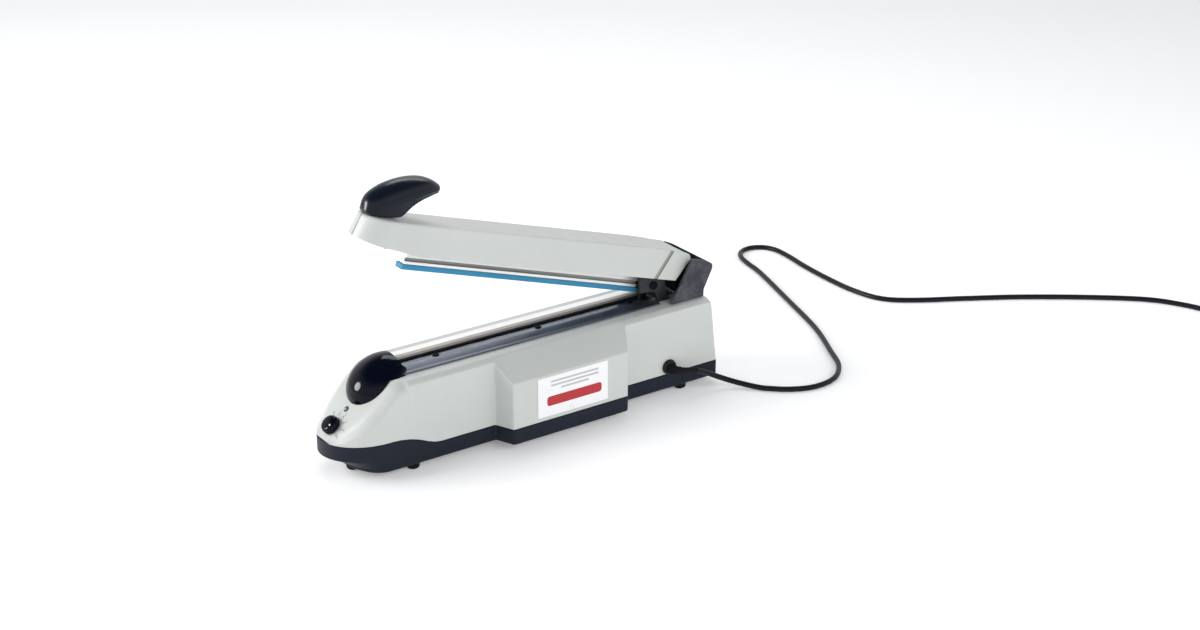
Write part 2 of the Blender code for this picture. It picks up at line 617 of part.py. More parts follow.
def make_arm(mats, pivot):
    arm_y = (-FAR, FAR)
    cover = finish("arm_shell", arm_shell_form(0.0), mats["grey"], pivot)
    shape(cover, "INTERSECT", prism(arm_side(0.0, False), "Y", *arm_y))
    hollow = finish("guide_hollow", arm_shell_form(WALL), None)
    shape(hollow, "INTERSECT", prism(arm_side(WALL, True), "Y", *arm_y))
    shape(cover, "DIFFERENCE", take(hollow))
    hub = finish("arm_bar", box((-11.7, -13.0, CHANNEL_LOW), (9.0, 13.0, BAR_TOP)), mats["aluminium"], pivot)
    shape(hub, "UNION", box((-335.0, -13.0, CHANNEL_TOP + GAP), (-5.0, 13.0, BAR_TOP)))
    shape(hub, "DIFFERENCE", box((-340.0, -10.5, CHANNEL_TOP + GAP + 2.5), (-20.0, 10.5, BAR_TOP - 2.5)))
    shape(hub, "DIFFERENCE", rod(BUSH_RADIUS + GAP, -20.0, 20.0, (0.0, 0.0, 0.0), "Y"))
    bore = PIN_RADIUS + GAP
    bush = ring_solid([(bore, -14.5), (BUSH_RADIUS, -14.5), (BUSH_RADIUS, 14.5), (bore, 14.5)], 20)
    bmesh.ops.transform(bush, matrix=Matrix.Rotation(math.pi / 2, 4, "X"), verts=bush.verts)
    finish("hinge_bush", bush, mats["brass"], pivot)

    groove = [(-11.0, CHANNEL_LOW), (-11.0, CHANNEL_LOW + 2.8), (-9.2, CHANNEL_LOW + 3.1),
              (-9.2, CHANNEL_LOW + 6.0), (-11.0, CHANNEL_LOW + 6.3), (-11.0, CHANNEL_TOP)]
    section = groove + [(-y, z) for y, z in reversed(groove)]
    finish("pad_channel", prism(section, "X", -300.0, -12.0), mats["channel"], pivot)
    finish("silicone_strip", box((-304.0, -STRIP_HALF, PAD_LOW), (-1.5, STRIP_HALF, CHANNEL_LOW - GAP)),
           mats["silicone"], pivot)
    make_handle(mats, pivot)
    make_tail(mats, pivot)


def make_handle(mats, pivot):
    """Duck-bill handle: its sections run from the rounded front over the neck to the free tip."""
    base = 37.7
    sections = [  # distance from the hinge, lower height, upper height, half width
        (360.6, 44.0, 52.0, 5.6), (357.7, base, 57.5, 10.4), (351.9, base, 63.0, 14.0),
        (343.6, base, 68.8, 16.0), (334.5, base, 73.3, 16.8), (328.5, base, 75.7, 17.1),
        (323.0, 45.0, 77.6, 17.2), (316.4, 52.5, 79.3, 17.0), (309.6, 58.0, 80.3, 16.5),
        (301.9, 62.0, 80.4, 15.6), (293.2, 65.4, 78.9, 14.0), (286.9, 67.6, 75.6, 10.8),
        (284.1, 69.0, 73.5, 6.8),
    ]
    rings = [[(-s, w * c, h) for c, h in bill_section(low, high)] for s, low, high, w in sections]
    finish("arm_handle", loft(rings), mats["gloss"], pivot)


def bill_section(low, high):
    """An egg-shaped outline, widest below the middle, as (share of half width, height)."""
    belly = low + (high - low) * 0.45
    points = []
    for k in range(16):
        a = 2 * math.pi * k / 16
        reach = (high - belly) if math.sin(a) > 0 else (belly - low)
        flat = 0.72 if math.sin(a) < 0 else 1.0
        points.append((math.copysign(abs(math.cos(a)) ** flat, math.cos(a)),
                       belly + reach * math.copysign(abs(math.sin(a)) ** flat, math.sin(a))))
    return points


def make_tail(mats, pivot):
    """Black end cap behind the hinge. It presses on the stop and is pulled down by the spring."""
    side = [(22.3 + GAP, 9.2), (36.9, 32.2), (53.4, 30.6), (54.9, 28.2), (48.0, -1.2), (45.0, -4.0), (30.0, -4.0)]
    half = ARM_HALF_TOP - 2.0
    finish("tail_cap", prism(side, "Y", -half, half), mats["plastic_black"], pivot)


# ---------------------------------------------------------------- moving pieces of the base

def make_knob(mats):
    x, z = panel_point(KNOB_UP)
    axle = bpy.data.objects.new("knob_axis", None)
    axle.location = (x * MM, CENTRE_Y * MM, z * MM)
    axle.rotation_euler = (0.0, -PANEL_ANGLE, 0.0)
    bpy.context.scene.collection.objects.link(axle)
    low = 0.8
    profile = [(0.0, low), (KNOB_RADIUS, low), (KNOB_RADIUS, low + 1.5), (KNOB_RADIUS - 0.6, KNOB_HEIGHT - 2.5),
               (KNOB_RADIUS - 2.2, KNOB_HEIGHT - 0.5), (4.0, KNOB_HEIGHT + 0.5), (0.0, KNOB_HEIGHT + 0.6)]
    knob = finish("timer_knob", turned(profile, 28), mats["gloss"], axle)
    shape(knob, "DIFFERENCE", rod(SHAFT_RADIUS + GAP, -1.0, 6.0))
    shaft = turned([(0.0, -13.0), (SHAFT_RADIUS, -13.0), (SHAFT_RADIUS, 5.7), (0.0, 5.7)], 16)
    finish("pot_shaft", shaft, mats["brass"], axle)


def make_switch_rod(mats):
    profile = [(0.0, ROD_LOW), (ROD_RADIUS, ROD_LOW), (ROD_RADIUS, ROD_TOP - 0.8), (ROD_RADIUS - 0.8, ROD_TOP),
               (0.0, ROD_TOP)]
    plunger = finish("switch_rod", turned(profile, 16), mats["plastic_black"])
    plunger.location = (ROD_X * MM, ROD_Y * MM, 0.0)


# ---------------------------------------------------------------- label and mains lead

def label_box(grow):
    """The label lies in a shallow pocket and its front is flush with the bulge."""
    face = CENTRE_Y - HALF_WIDTH - BULGE_DEPTH
    low = (LABEL_X[0] - grow, face - 10.0 * grow, LABEL_Z[0] - grow)
    high = (LABEL_X[1] + grow, face + LABEL_THICKNESS + grow, LABEL_Z[1] + grow)
    return low, high


def make_label(mats):
    finish("side_label", box(*label_box(0.0)), mats["label"])


def cord_route():
    """Centre line of the lead from the boot to the coil, chosen by hand; its radius above the floor."""
    lie = CORD_DIAMETER / 2
    return [
        (192.5, -45.5, 26.5), (205.0, -46.5, 21.0), (220.0, -49.5, 13.0), (236.0, -60.0, 6.5),
        (255.0, -82.0, lie), (277.0, -101.0, lie), (304.0, -111.0, lie), (334.0, -106.0, lie),
        (360.0, -83.0, lie), (378.0, -48.0, lie), (405.0, 10.0, lie), (432.0, 92.0, lie),
        (459.0, 178.0, lie), (465.0, 207.0, lie), (471.5, 231.0, lie), (482.5, 245.5, lie),
        (499.0, 250.0, lie), (514.5, 243.0, lie), (522.5, 227.0, lie), (521.5, 198.0, lie),
        (517.0, 165.0, lie), (514.0, 118.0, lie), (515.0, 70.0, lie), (526.0, 32.0, lie),
        (556.0, 6.0, lie), (605.0, -22.0, lie), (665.0, -58.0, lie), (730.0, -105.0, lie),
        (780.0, -148.0, lie), (802.0, -182.0, lie), (812.0, -213.0, lie),
    ]


def make_lead(mats):
    near = CENTRE_Y - HALF_WIDTH
    boot = smooth_route([(GLAND_X, near - 0.4, GLAND_Z), (GLAND_X + 1.0, near - 6.0, 32.6),
                         (GLAND_X + 8.0, near - 10.5, 31.4), (GLAND_X + 18.0, near - 11.6, 29.0),
                         (GLAND_X + 28.0, near - 12.0, 26.8)], 4.0)
    rings = []
    for k, p in enumerate(boot):
        ahead = Vector(boot[min(k + 1, len(boot) - 1)]) - Vector(boot[max(k - 1, 0)])
        ahead.normalize()
        side = ahead.cross(Vector((0.0, 0.0, 1.0))).normalized()
        up = side.cross(ahead)
        radius = 6.0 - 2.2 * k / (len(boot) - 1)
        rings.append([tuple(Vector(p) + side * a + up * b) for a, b in circle(radius, 14)])
    sleeve = finish("cable_boot", loft(rings), mats["rubber"])
    flange = rod(8.6, near - 3.6, near - GAP, (GLAND_X, 0.0, GLAND_Z + 1.0), "Y", 20)
    shape(sleeve, "UNION", flange)
    finish("boot_nut", rod(5.6, near + WALL + GAP, near + WALL + 5.0, (GLAND_X, 0.0, GLAND_Z), "Y", 6),
           mats["plastic_black"])

    lowest = CORD_DIAMETER / 2
    run = [(x, y, max(z, lowest)) for x, y, z in smooth_route(cord_route(), 15.0)]
    tube("mains_cord", run, CORD_DIAMETER / 2, mats["cord"], 2)
    half_width, height = CORD_DIAMETER * 1.05, CORD_DIAMETER * 2.1
    outline = [(COIL_MEAN_RADIUS - half_width, 0.0), (COIL_MEAN_RADIUS + half_width, 0.0),
               (COIL_MEAN_RADIUS + half_width, height), (COIL_MEAN_RADIUS - half_width, height)]
    coil = finish("cord_coil", ring_solid(outline, 28), mats["cord"])
    coil.location = (COIL_CENTRE[0] * MM, COIL_CENTRE[1] * MM, 0.0)
    inside, outside = half_width + GAP, half_width + GAP + 1.2
    band = [(-outside, 0.0), (-outside, height + 1.5), (outside, height + 1.5), (outside, 0.0), (inside, 0.0),
            (inside, height + GAP), (-inside, height + GAP), (-inside, 0.0)]
    tie = finish("coil_tie", prism(band, "X", -2.5, 2.5), mats["plastic_black"])
    tie.location = (COIL_CENTRE[0] * MM, (COIL_CENTRE[1] + COIL_MEAN_RADIUS) * MM, 0.0)
    make_plug(mats)


def make_plug(mats):
    """Flat two-pin mains plug beside the coil, on a short straight end of the lead."""
    place = Matrix.Translation((*COIL_CENTRE, 0.0)) @ Matrix.Rotation(PLUG_HEADING, 4, "Z")
    place = place @ Matrix.Translation((PLUG_DISTANCE, -COIL_MEAN_RADIUS, 0.0))
    outline = [(0.0, 3.6), (14.0, 5.2), (22.0, 11.0), (36.0, 12.8), (41.0, 12.8)]
    plan = outline + [(a, -b) for a, b in reversed(outline)]
    pieces = [("plug_body", prism(plan, "Z", 0.0, 2 * PLUG_AXIS_Z), mats["cord"])]
    lead = rod(CORD_DIAMETER / 2, -21.8, -GAP, (0.0, 0.0, PLUG_AXIS_Z), "X", 14)
    pieces.append(("plug_lead", lead, mats["cord"]))
    for name, side in (("plug_pin_line", -1), ("plug_pin_neutral", 1)):
        pin = rod(2.0, 41.0 + GAP, 60.0, (0.0, side * 9.3, PLUG_AXIS_Z), "X", 12)
        pieces.append((name, pin, mats["brass"]))
    for name, bm, mat in pieces:
        bmesh.ops.transform(bm, matrix=place, verts=bm.verts)
        finish(name, bm, mat)


def main():
    clear_scene()
    mats = {
        "grey": material("warm_grey_plastic", (0.62, 0.63, 0.60), 0.38),
        "navy": material("navy_plastic", (0.018, 0.023, 0.040), 0.45),
        "gloss": material("gloss_black_plastic", (0.010, 0.013, 0.022), 0.12),
        "rubber": material("black_rubber", (0.015, 0.015, 0.017), 0.8),
        "aluminium": material("aluminium", (0.72, 0.73, 0.75), 0.3, 1.0),
        "channel": material("white_aluminium", (0.80, 0.81, 0.82), 0.35, 0.6),
        "steel": material("zinc_steel", (0.60, 0.60, 0.60), 0.35, 1.0),
        "steel_dark": material("dark_screw_steel", (0.05, 0.05, 0.06), 0.4, 1.0),
        "brass": material("brass", (0.75, 0.58, 0.30), 0.3, 1.0),
        "phenolic": material("black_phenolic", (0.02, 0.02, 0.02), 0.6),
        "nichrome": material("nichrome", (0.45, 0.43, 0.40), 0.4, 1.0),
        "cloth": material("release_cloth", (0.42, 0.37, 0.30), 0.55),
        "lamination": material("transformer_steel", (0.22, 0.23, 0.25), 0.5, 0.8),
        "winding": material("winding_tape", (0.75, 0.62, 0.15), 0.5),
        "circuit": material("circuit_board", (0.03, 0.20, 0.08), 0.5),
        "plastic_blue": material("relay_blue", (0.04, 0.12, 0.40), 0.4),
        "plastic_black": material("satin_black_plastic", (0.015, 0.015, 0.018), 0.4),
        "plastic_white": material("terminal_white", (0.75, 0.75, 0.72), 0.5),
        "matte_black": material("matte_black_metal", (0.02, 0.02, 0.024), 0.55),
        "guard": material("dusty_black_plastic", (0.045, 0.047, 0.062), 0.6),
        "led": material("led_lens", (0.20, 0.26, 0.18), 0.2),
        "silicone": material("blue_silicone", (0.02, 0.25, 0.58), 0.45),
        "label": material("white_label", (0.85, 0.85, 0.85), 0.3),
        "cord": material("black_cord", (0.014, 0.016, 0.020), 0.35),
    }
    make_base(mats)
    make_feet(mats)
    make_dome(mats)
    make_rail(mats)
    make_inside(mats)
    make_hinge(mats)
    pivot = bpy.data.objects.new("arm_pivot", None)
    pivot.location = [c * MM for c in PIVOT]
    pivot.rotation_euler = (0.0, OPEN_ANGLE, 0.0)
    bpy.context.scene.collection.objects.link(pivot)
    make_arm(mats, pivot)
    make_knob(mats)
    make_switch_rod(mats)
    make_label(mats)
    make_lead(mats)


main()
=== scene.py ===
"""Impulse heat sealer: the visible model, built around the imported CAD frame.

Lengths are in millimetres, multiplied by MM. The arm's pieces are drawn on the closed arm, with the hinge
axis as their origin; they are then raised by the opening angle and ride on the arm body.
"""

from math import cos, pi, radians, sin, sqrt, tan

import bmesh
import bpy
from mathutils import Matrix, Vector, noise
from mathutils.geometry import interpolate_bezier


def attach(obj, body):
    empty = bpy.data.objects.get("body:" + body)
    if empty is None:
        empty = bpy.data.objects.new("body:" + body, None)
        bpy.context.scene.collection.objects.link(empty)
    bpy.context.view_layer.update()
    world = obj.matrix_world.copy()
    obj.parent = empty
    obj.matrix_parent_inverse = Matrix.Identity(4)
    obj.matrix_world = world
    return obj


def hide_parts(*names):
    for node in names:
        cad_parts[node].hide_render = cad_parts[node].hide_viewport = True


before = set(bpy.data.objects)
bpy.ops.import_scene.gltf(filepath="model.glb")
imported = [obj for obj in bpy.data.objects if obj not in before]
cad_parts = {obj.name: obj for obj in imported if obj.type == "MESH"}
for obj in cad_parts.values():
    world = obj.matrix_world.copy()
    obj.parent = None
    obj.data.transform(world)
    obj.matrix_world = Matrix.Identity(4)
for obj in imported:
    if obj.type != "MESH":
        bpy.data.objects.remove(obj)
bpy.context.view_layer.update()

MM = 0.001
CENTRE_Y = 10.5
HALF_WIDTH = 44.0
NOSE_START, NOSE_LENGTH = -176.0, 53.0
REAR_X = 229.0
NEAR_Y = CENTRE_Y - HALF_WIDTH
DECK_Z = 99.0
PANEL_ANGLE = radians(43.15)
PANEL_LOW = (-227.0, 40.0)
KNOB_UP, LIGHT_UP = 16.4, 38.1          # how far up the control slope they sit
SEAM_Z = 25.4                           # seam between skirt and shell, behind the nose
BULGE_DEPTH = 21.0
PIVOT = Vector((160.0, CENTRE_Y, 120.0))
OPEN_ANGLE = radians(17.86)
CORD_DIAMETER = 6.0
REAR_CORNER = 3.0
REAR_LEAN = 8.5                         # how far the rear wall's top leans forward
BULGE_X, BULGE_FACE_X = (-54.0, 107.0), (-45.0, 96.0)
BULGE_EDGE_Z = 75.5
DOME_CENTRE, DOME_RADII, DOME_PITCH = (-160.0, CENTRE_Y, 85.0), (36.5, 33.0, 27.0), radians(25.0)
DECK_CUT_Z = 98.4                       # underside of the dome, just in the deck
ROD_X, ROD_Y, ROD_HOLE_RADIUS = 150.0, 2.0, 2.8
PIN_END = 20.6                          # inner faces of the pin's heads, from the centre
GUARD_LOW_Z = 99.3
ARM_NOSE_START, ARM_NOSE_REACH, ARM_NOSE_TAPER = 338.0, 22.5, 0.25
ARM_EDGE = 2.4                          # radius of the arm's long top edges
SHELL_WALL, ARM_WALL = 2.2, 2.0


# ---- node materials

def new_material(name):
    mat = bpy.data.materials.new("look_" + name)
    mat.use_nodes = True
    tree = mat.node_tree
    return mat, tree, tree.nodes["Principled BSDF"]


def set_inputs(node, **values):
    for key, value in values.items():
        node.inputs[key.replace("_", " ")].default_value = value
    return node


MIDDLE = (0.3, 0.7)                     # the span that most of a noise pattern falls in


def noise_node(tree, scale, detail=4.0, rough=0.55, stretch=(1.0, 1.0, 1.0)):
    """Object-space noise as a socket; stretch above 1 squeezes the pattern along that axis."""
    place = tree.nodes.new("ShaderNodeTexCoord")
    mapping = set_inputs(tree.nodes.new("ShaderNodeMapping"), Scale=stretch)
    node = set_inputs(tree.nodes.new("ShaderNodeTexNoise"), Scale=scale, Detail=detail, Roughness=rough)
    tree.links.new(place.outputs["Object"], mapping.inputs["Vector"])
    tree.links.new(mapping.outputs["Vector"], node.inputs["Vector"])
    return node.outputs["Fac"]


def ramp(tree, source, low, high, low_value, high_value):
    """Maps a socket from low..high to a grey value range and returns the output socket."""
    node = set_inputs(tree.nodes.new("ShaderNodeMapRange"), From_Min=low, From_Max=high, To_Min=low_value,
                      To_Max=high_value)
    tree.links.new(source, node.inputs["Value"])
    return node.outputs["Result"]


def mix_colour(tree, factor, first, second):
    node = tree.nodes.new("ShaderNodeMix")
    node.data_type = "RGBA"
    set_inputs(node, A=(*first, 1.0), B=(*second, 1.0))
    tree.links.new(factor, node.inputs["Factor"])
    return node.outputs["Result"]


def bump(tree, shader, height, strength, distance):
    node = set_inputs(tree.nodes.new("ShaderNodeBump"), Strength=strength, Distance=distance)
    tree.links.new(height, node.inputs["Height"])
    tree.links.new(node.outputs["Normal"], shader.inputs["Normal"])


def colour_from(tree, shader, source, span, dark, light):
    """Base colour that runs from dark to light as a socket crosses a span."""
    tree.links.new(mix_colour(tree, ramp(tree, source, *span, 0.0, 1.0), dark, light),
                   shader.inputs["Base Color"])


def roughness_from(tree, shader, source, span, low, high):
    tree.links.new(ramp(tree, source, *span, low, high), shader.inputs["Roughness"])


def plastic(name, colour, rough, spread=0.05, grain=0.02, tint=0.06, coat=0.0, spec=0.5):
    """Moulded plastic: a fine grain, faint mottling and uneven polish."""
    mat, tree, shader = new_material(name)
    darker = tuple(c * (1.0 - tint) for c in colour)
    colour_from(tree, shader, noise_node(tree, 9.0), MIDDLE, darker, colour)
    roughness_from(tree, shader, noise_node(tree, 40.0, 3.0), MIDDLE, rough - spread, rough + spread)
    bump(tree, shader, noise_node(tree, 1400.0, 2.0), grain, 0.0004)
    set_inputs(shader, Specular_IOR_Level=spec)
    if coat:
        set_inputs(shader, Coat_Weight=coat, Coat_Roughness=0.04)
    return mat


def metal(name, colour, rough, stretch=(1.0, 60.0, 60.0), streak=0.12, metallic=1.0):
    """Drawn or brushed metal, with streaks along its length."""
    mat, tree, shader = new_material(name)
    lines = noise_node(tree, 30.0, 5.0, 0.6, stretch)
    darker = tuple(c * (1.0 - streak) for c in colour)
    colour_from(tree, shader, lines, (0.35, 0.65), darker, colour)
    roughness_from(tree, shader, lines, MIDDLE, rough - 0.06, rough + 0.08)
    bump(tree, shader, lines, 0.05, 0.0003)
    set_inputs(shader, Metallic=metallic)
    return mat


def dusty(name, colour, dust, rough):
    """Dark matte plastic with pale dust and scuffs."""
    mat, tree, shader = new_material(name)
    patches = noise_node(tree, 45.0, 8.0, 0.72)
    specks = noise_node(tree, 300.0, 4.0, 0.7)
    both = tree.nodes.new("ShaderNodeMath")
    both.operation = "MULTIPLY"
    tree.links.new(ramp(tree, patches, 0.42, 0.68, 0.0, 1.0), both.inputs[0])
    tree.links.new(ramp(tree, specks, 0.35, 0.65, 0.35, 1.0), both.inputs[1])
    tree.links.new(mix_colour(tree, both.outputs["Value"], colour, dust), shader.inputs["Base Color"])
    roughness_from(tree, shader, both.outputs["Value"], (0.0, 1.0), rough, min(1.0, rough + 0.2))
    bump(tree, shader, specks, 0.12, 0.0004)
    return mat


def cloth(name, colour, dark):
    """Woven glass cloth with a slick coating."""
    mat, tree, shader = new_material(name)
    place = tree.nodes.new("ShaderNodeTexCoord")
    checks = set_inputs(tree.nodes.new("ShaderNodeTexChecker"), Scale=900.0)
    tree.links.new(place.outputs["Object"], checks.inputs["Vector"])
    stains = noise_node(tree, 25.0, 6.0, 0.65, (0.6, 4.0, 4.0))
    colour_from(tree, shader, stains, (0.35, 0.7), dark, colour)
    roughness_from(tree, shader, stains, MIDDLE, 0.32, 0.5)
    bump(tree, shader, checks.outputs["Fac"], 0.15, 0.0003)
    return mat


def glossy(name, colour, spec, rough=0.07):
    """Deep gloss moulding: a dark body under a clear, slightly wavy skin."""
    mat, tree, shader = new_material(name)
    darker = tuple(c * 0.8 for c in colour)
    colour_from(tree, shader, noise_node(tree, 12.0), MIDDLE, darker, colour)
    roughness_from(tree, shader, noise_node(tree, 60.0, 4.0), MIDDLE, rough, rough + 0.06)
    set_inputs(shader, Specular_IOR_Level=spec)
    bump(tree, shader, noise_node(tree, 35.0, 2.0), 0.03, 0.001)
    return mat


def make_materials():
    return {
        "grey": plastic("warm_grey", (0.525, 0.545, 0.525), 0.42),
        "groove": plastic("shadow_groove", (0.30, 0.30, 0.27), 0.55),
        "slot": plastic("shadow_slot", (0.30, 0.30, 0.30), 0.6, spec=0.2),
        "navy": plastic("navy_skirt", (0.0060, 0.0095, 0.0205), 0.46, grain=0.06, tint=0.2, spec=0.22),
        "gloss": glossy("gloss_navy", (0.0010, 0.0022, 0.0075), spec=0.14),
        "satin": glossy("handle_satin", (0.0045, 0.0078, 0.0150), rough=0.20, spec=0.22),
        "rubber": plastic("rubber", (0.005, 0.005, 0.007), 0.72, grain=0.2, tint=0.3, spec=0.2),
        "black": plastic("satin_black", (0.0045, 0.0055, 0.0085), 0.36, grain=0.08, tint=0.3, spec=0.3),
        "matte": dusty("matte_black", (0.005, 0.006, 0.009), (0.030, 0.032, 0.040), 0.50),
        "guard": dusty("dusty_guard", (0.019, 0.020, 0.030), (0.105, 0.110, 0.130), 0.55),
        "rail": metal("rail_aluminium", (0.62, 0.65, 0.70), 0.25, streak=0.2),
        # Darker copies of the rail's aluminium: painted shade on the rail's near flat and near slope. The
        # pale channel below also goes on the rail's far side as painted light.
        "rail_flange_painted_shade": metal("rail_flange_painted_shade", (0.25, 0.27, 0.31), 0.26, streak=0.5),
        "rail_slope_painted_shade": metal("rail_slope_painted_shade", (0.21, 0.230, 0.270), 0.46, streak=0.45),
        "channel": metal("pale_channel", (0.86, 0.86, 0.85), 0.34, metallic=0.35, streak=0.05),
        "steel": metal("zinc_steel", (0.58, 0.58, 0.59), 0.32, (20.0, 20.0, 20.0)),
        "screw": metal("dark_screw", (0.012, 0.012, 0.015), 0.45, (20.0, 20.0, 20.0)),
        "brass": metal("brass", (0.75, 0.58, 0.30), 0.30, (20.0, 20.0, 20.0)),
        "nichrome": metal("nichrome", (0.42, 0.40, 0.37), 0.36),
        "phenolic": plastic("phenolic", (0.002, 0.002, 0.003), 0.60, grain=0.1, tint=0.3, spec=0.2),
        "cloth": cloth("release_cloth", (0.44, 0.40, 0.35), (0.30, 0.27, 0.24)),
        # A darker copy of the release cloth: painted shade for the cloth's near flank.
        "cloth_flank_shade": cloth("cloth_painted_shade", (0.115, 0.105, 0.100), (0.075, 0.070, 0.068)),
        "silicone": plastic("blue_silicone", (0.012, 0.215, 0.400), 0.34, spread=0.06, grain=0.1,
                            tint=0.15),
        "label": plastic("label_white", (0.80, 0.805, 0.815), 0.30, grain=0.01, tint=0.02),
        "print_red": plastic("print_red", (0.42, 0.014, 0.020), 0.35, grain=0.01),
        "print_grey": plastic("print_grey", (0.46, 0.46, 0.48), 0.35, grain=0.01),
        "print_dark": plastic("print_dark", (0.05, 0.05, 0.06), 0.40, grain=0.01),
        "led": plastic("led_lens", (0.14, 0.19, 0.12), 0.16, grain=0.01, coat=0.6),
        "cord": plastic("cord_jacket", (0.0040, 0.0052, 0.0090), 0.34, grain=0.08, tint=0.25, spec=0.22),
        "lamination": metal("transformer_steel", (0.20, 0.21, 0.23), 0.5, (1.0, 1.0, 90.0)),
        "winding": plastic("winding_tape", (0.70, 0.55, 0.12), 0.45),
        "circuit": plastic("circuit_board", (0.02, 0.16, 0.06), 0.42),
        "relay": plastic("relay_blue", (0.03, 0.10, 0.36), 0.38),
        "terminal": plastic("terminal_white", (0.72, 0.72, 0.69), 0.45),
    }


# ---- geometry helpers

def linked(name, data):
    obj = bpy.data.objects.new(name, data)
    bpy.context.scene.collection.objects.link(obj)
    return obj


def evaluated_mesh(obj):
    return bpy.data.meshes.new_from_object(obj.evaluated_get(bpy.context.evaluated_depsgraph_get()))


def mesh_in_metres(name, bm):
    bmesh.ops.recalc_face_normals(bm, faces=bm.faces)
    bmesh.ops.scale(bm, vec=(MM, MM, MM), verts=bm.verts)
    mesh = bpy.data.meshes.new(name)
    bm.to_mesh(mesh)
    bm.free()
    return mesh


def finish_mesh(name, bm, mat, bevel=0.0, angle=30.0, segments=2, smooth_angle=40.0):
    """Turns a bmesh in millimetres into a smooth shaded object, with an optional bevel."""
    mesh = mesh_in_metres(name, bm)
    mesh.shade_smooth()
    if not bevel:
        mesh.set_sharp_from_angle(angle=radians(smooth_angle))
    obj = linked(name, mesh)
    mesh.materials.append(mat)
    if bevel:
        mod = obj.modifiers.new("edge_rounding", "BEVEL")
        mod.width = bevel * MM
        mod.segments = segments
        mod.limit_method = "ANGLE"
        mod.angle_limit = radians(angle)
        mod.harden_normals = True
    return obj


def prism(points, axis, low, high):
    """A straight solid from a closed outline, between two places along an axis."""
    orders = {"X": lambda p, t: (t, *p), "Y": lambda p, t: (p[0], t, p[1]), "Z": lambda p, t: (*p, t)}
    place = orders[axis]
    bm = bmesh.new()
    ends = [[bm.verts.new(place(p, t)) for p in points] for t in (low, high)]
    for ring in ends:
        bm.faces.new(ring)
    for k in range(len(points)):
        j = (k + 1) % len(points)
        bm.faces.new((ends[0][k], ends[0][j], ends[1][j], ends[1][k]))
    return bm


def box(low, high):
    corners = [(low[0], low[1]), (high[0], low[1]), (high[0], high[1]), (low[0], high[1])]
    return prism(corners, "Z", low[2], high[2])


def loft(rings, closed=True, caps=(True, True)):
    """A skin over rings with the same count of points; closed joins each ring's ends."""
    bm = bmesh.new()
    loops = [[bm.verts.new(p) for p in ring] for ring in rings]
    count = len(rings[0])
    for a, b in zip(loops, loops[1:]):
        for k in range(count if closed else count - 1):
            j = (k + 1) % count
            bm.faces.new((a[k], a[j], b[j], b[k]))
    if caps[0]:
        bm.faces.new(loops[0])
    if caps[1]:
        bm.faces.new(loops[-1])
    return bm


def turned(profile, sides):
    """Turned about Z from (radius, height) points; a radius of 0 closes an end."""
    bm = bmesh.new()
    rings = []
    for r, z in profile:
        if r == 0.0:
            rings.append([bm.verts.new((0.0, 0.0, z))])
        else:
            angles = [2 * pi * k / sides for k in range(sides)]
            rings.append([bm.verts.new((r * cos(a), r * sin(a), z)) for a in angles])
    for a, b in zip(rings, rings[1:]):
        for k in range(sides):
            j = (k + 1) % sides
            if len(a) == 1:
                bm.faces.new((a[0], b[j], b[k]))
            elif len(b) == 1:
                bm.faces.new((a[k], a[j], b[0]))
            else:
                bm.faces.new((a[k], a[j], b[j], b[k]))
    return bm


def corner_points(before, here, after, radius, stops):
    """The soft corner at one point of an outline; the radius is kept below half of each side."""
    a, b, c = Vector(before), Vector(here), Vector(after)
    r = min(radius, (a - b).length * 0.45, (c - b).length * 0.45)
    start, end = b + (a - b).normalized() * r, b + (c - b).normalized() * r
    return [tuple(start * (1 - t) ** 2 + b * 2 * t * (1 - t) + end * t ** 2) for t in stops]


def rounded(points, radius):
    """Rounds the corners of an open outline; its ends are kept."""
    out = [points[0]]
    for before, here, after in zip(points, points[1:], points[2:]):
        out += corner_points(before, here, after, radius, (0.0, 0.25, 0.5, 0.75, 1.0))
    return out + [points[-1]]


def rounded_loop(points, radius, steps=4):
    """Rounds the corners of a closed outline, with one radius or one for each corner."""
    n = len(points)
    radii = radius if isinstance(radius, (list, tuple)) else [radius] * n
    out = []
    for k in range(n):
        out += corner_points(points[k - 1], points[k], points[(k + 1) % n], radii[k],
                             [i / steps for i in range(steps + 1)])
    return out


shift = Matrix.Translation


def move(bm, matrix):
    bmesh.ops.transform(bm, matrix=matrix, verts=bm.verts)
    return bm


def cut(obj, bm, operation="DIFFERENCE", mat=None):
    """Cuts an object with a solid in millimetres, or joins or intersects them; mat goes on the new faces."""
    tool = linked("cutter", mesh_in_metres("cutter", bm))
    work = linked("work", obj.data)
    mod = work.modifiers.new("cut", "BOOLEAN")
    mod.operation = operation
    mod.solver = "EXACT"
    mod.object = tool
    if mat is not None:
        tool.data.materials.append(mat)
        mod.material_mode = "TRANSFER"
    result = evaluated_mesh(work)
    result.name = obj.name
    obj.data = result
    bpy.data.objects.remove(work, do_unlink=True)
    bpy.data.objects.remove(tool, do_unlink=True)
    result.shade_smooth()
    if not obj.modifiers:
        result.set_sharp_from_angle(angle=radians(40.0))
    return obj


def smooth_step(t):
    t = max(0.0, min(1.0, t))
    return t * t * (3 - 2 * t)


def lerp(a, b, t):
    return a + (b - a) * t


def table(x, rows):
    """Straight-line interpolation in (x, value) rows."""
    if x <= rows[0][0]:
        return rows[0][1]
    for (x0, v0), (x1, v1) in zip(rows, rows[1:]):
        if x <= x1:
            return lerp(v0, v1, (x - x0) / (x1 - x0)) if x1 > x0 else v1
    return rows[-1][1]


def smooth_route(route, spacing):
    points = [Vector(p) for p in route]
    slopes = [(b - a) / 2 for a, b in zip(points, points[2:])]
    slopes = [points[1] - points[0], *slopes, points[-1] - points[-2]]
    dense = []
    for a, b, ta, tb in zip(points, points[1:], slopes, slopes[1:]):
        steps = max(2, round((b - a).length / spacing))
        dense += interpolate_bezier(a, a + ta / 3, b - tb / 3, b, steps + 1)[:-1]
    return dense + [points[-1]]


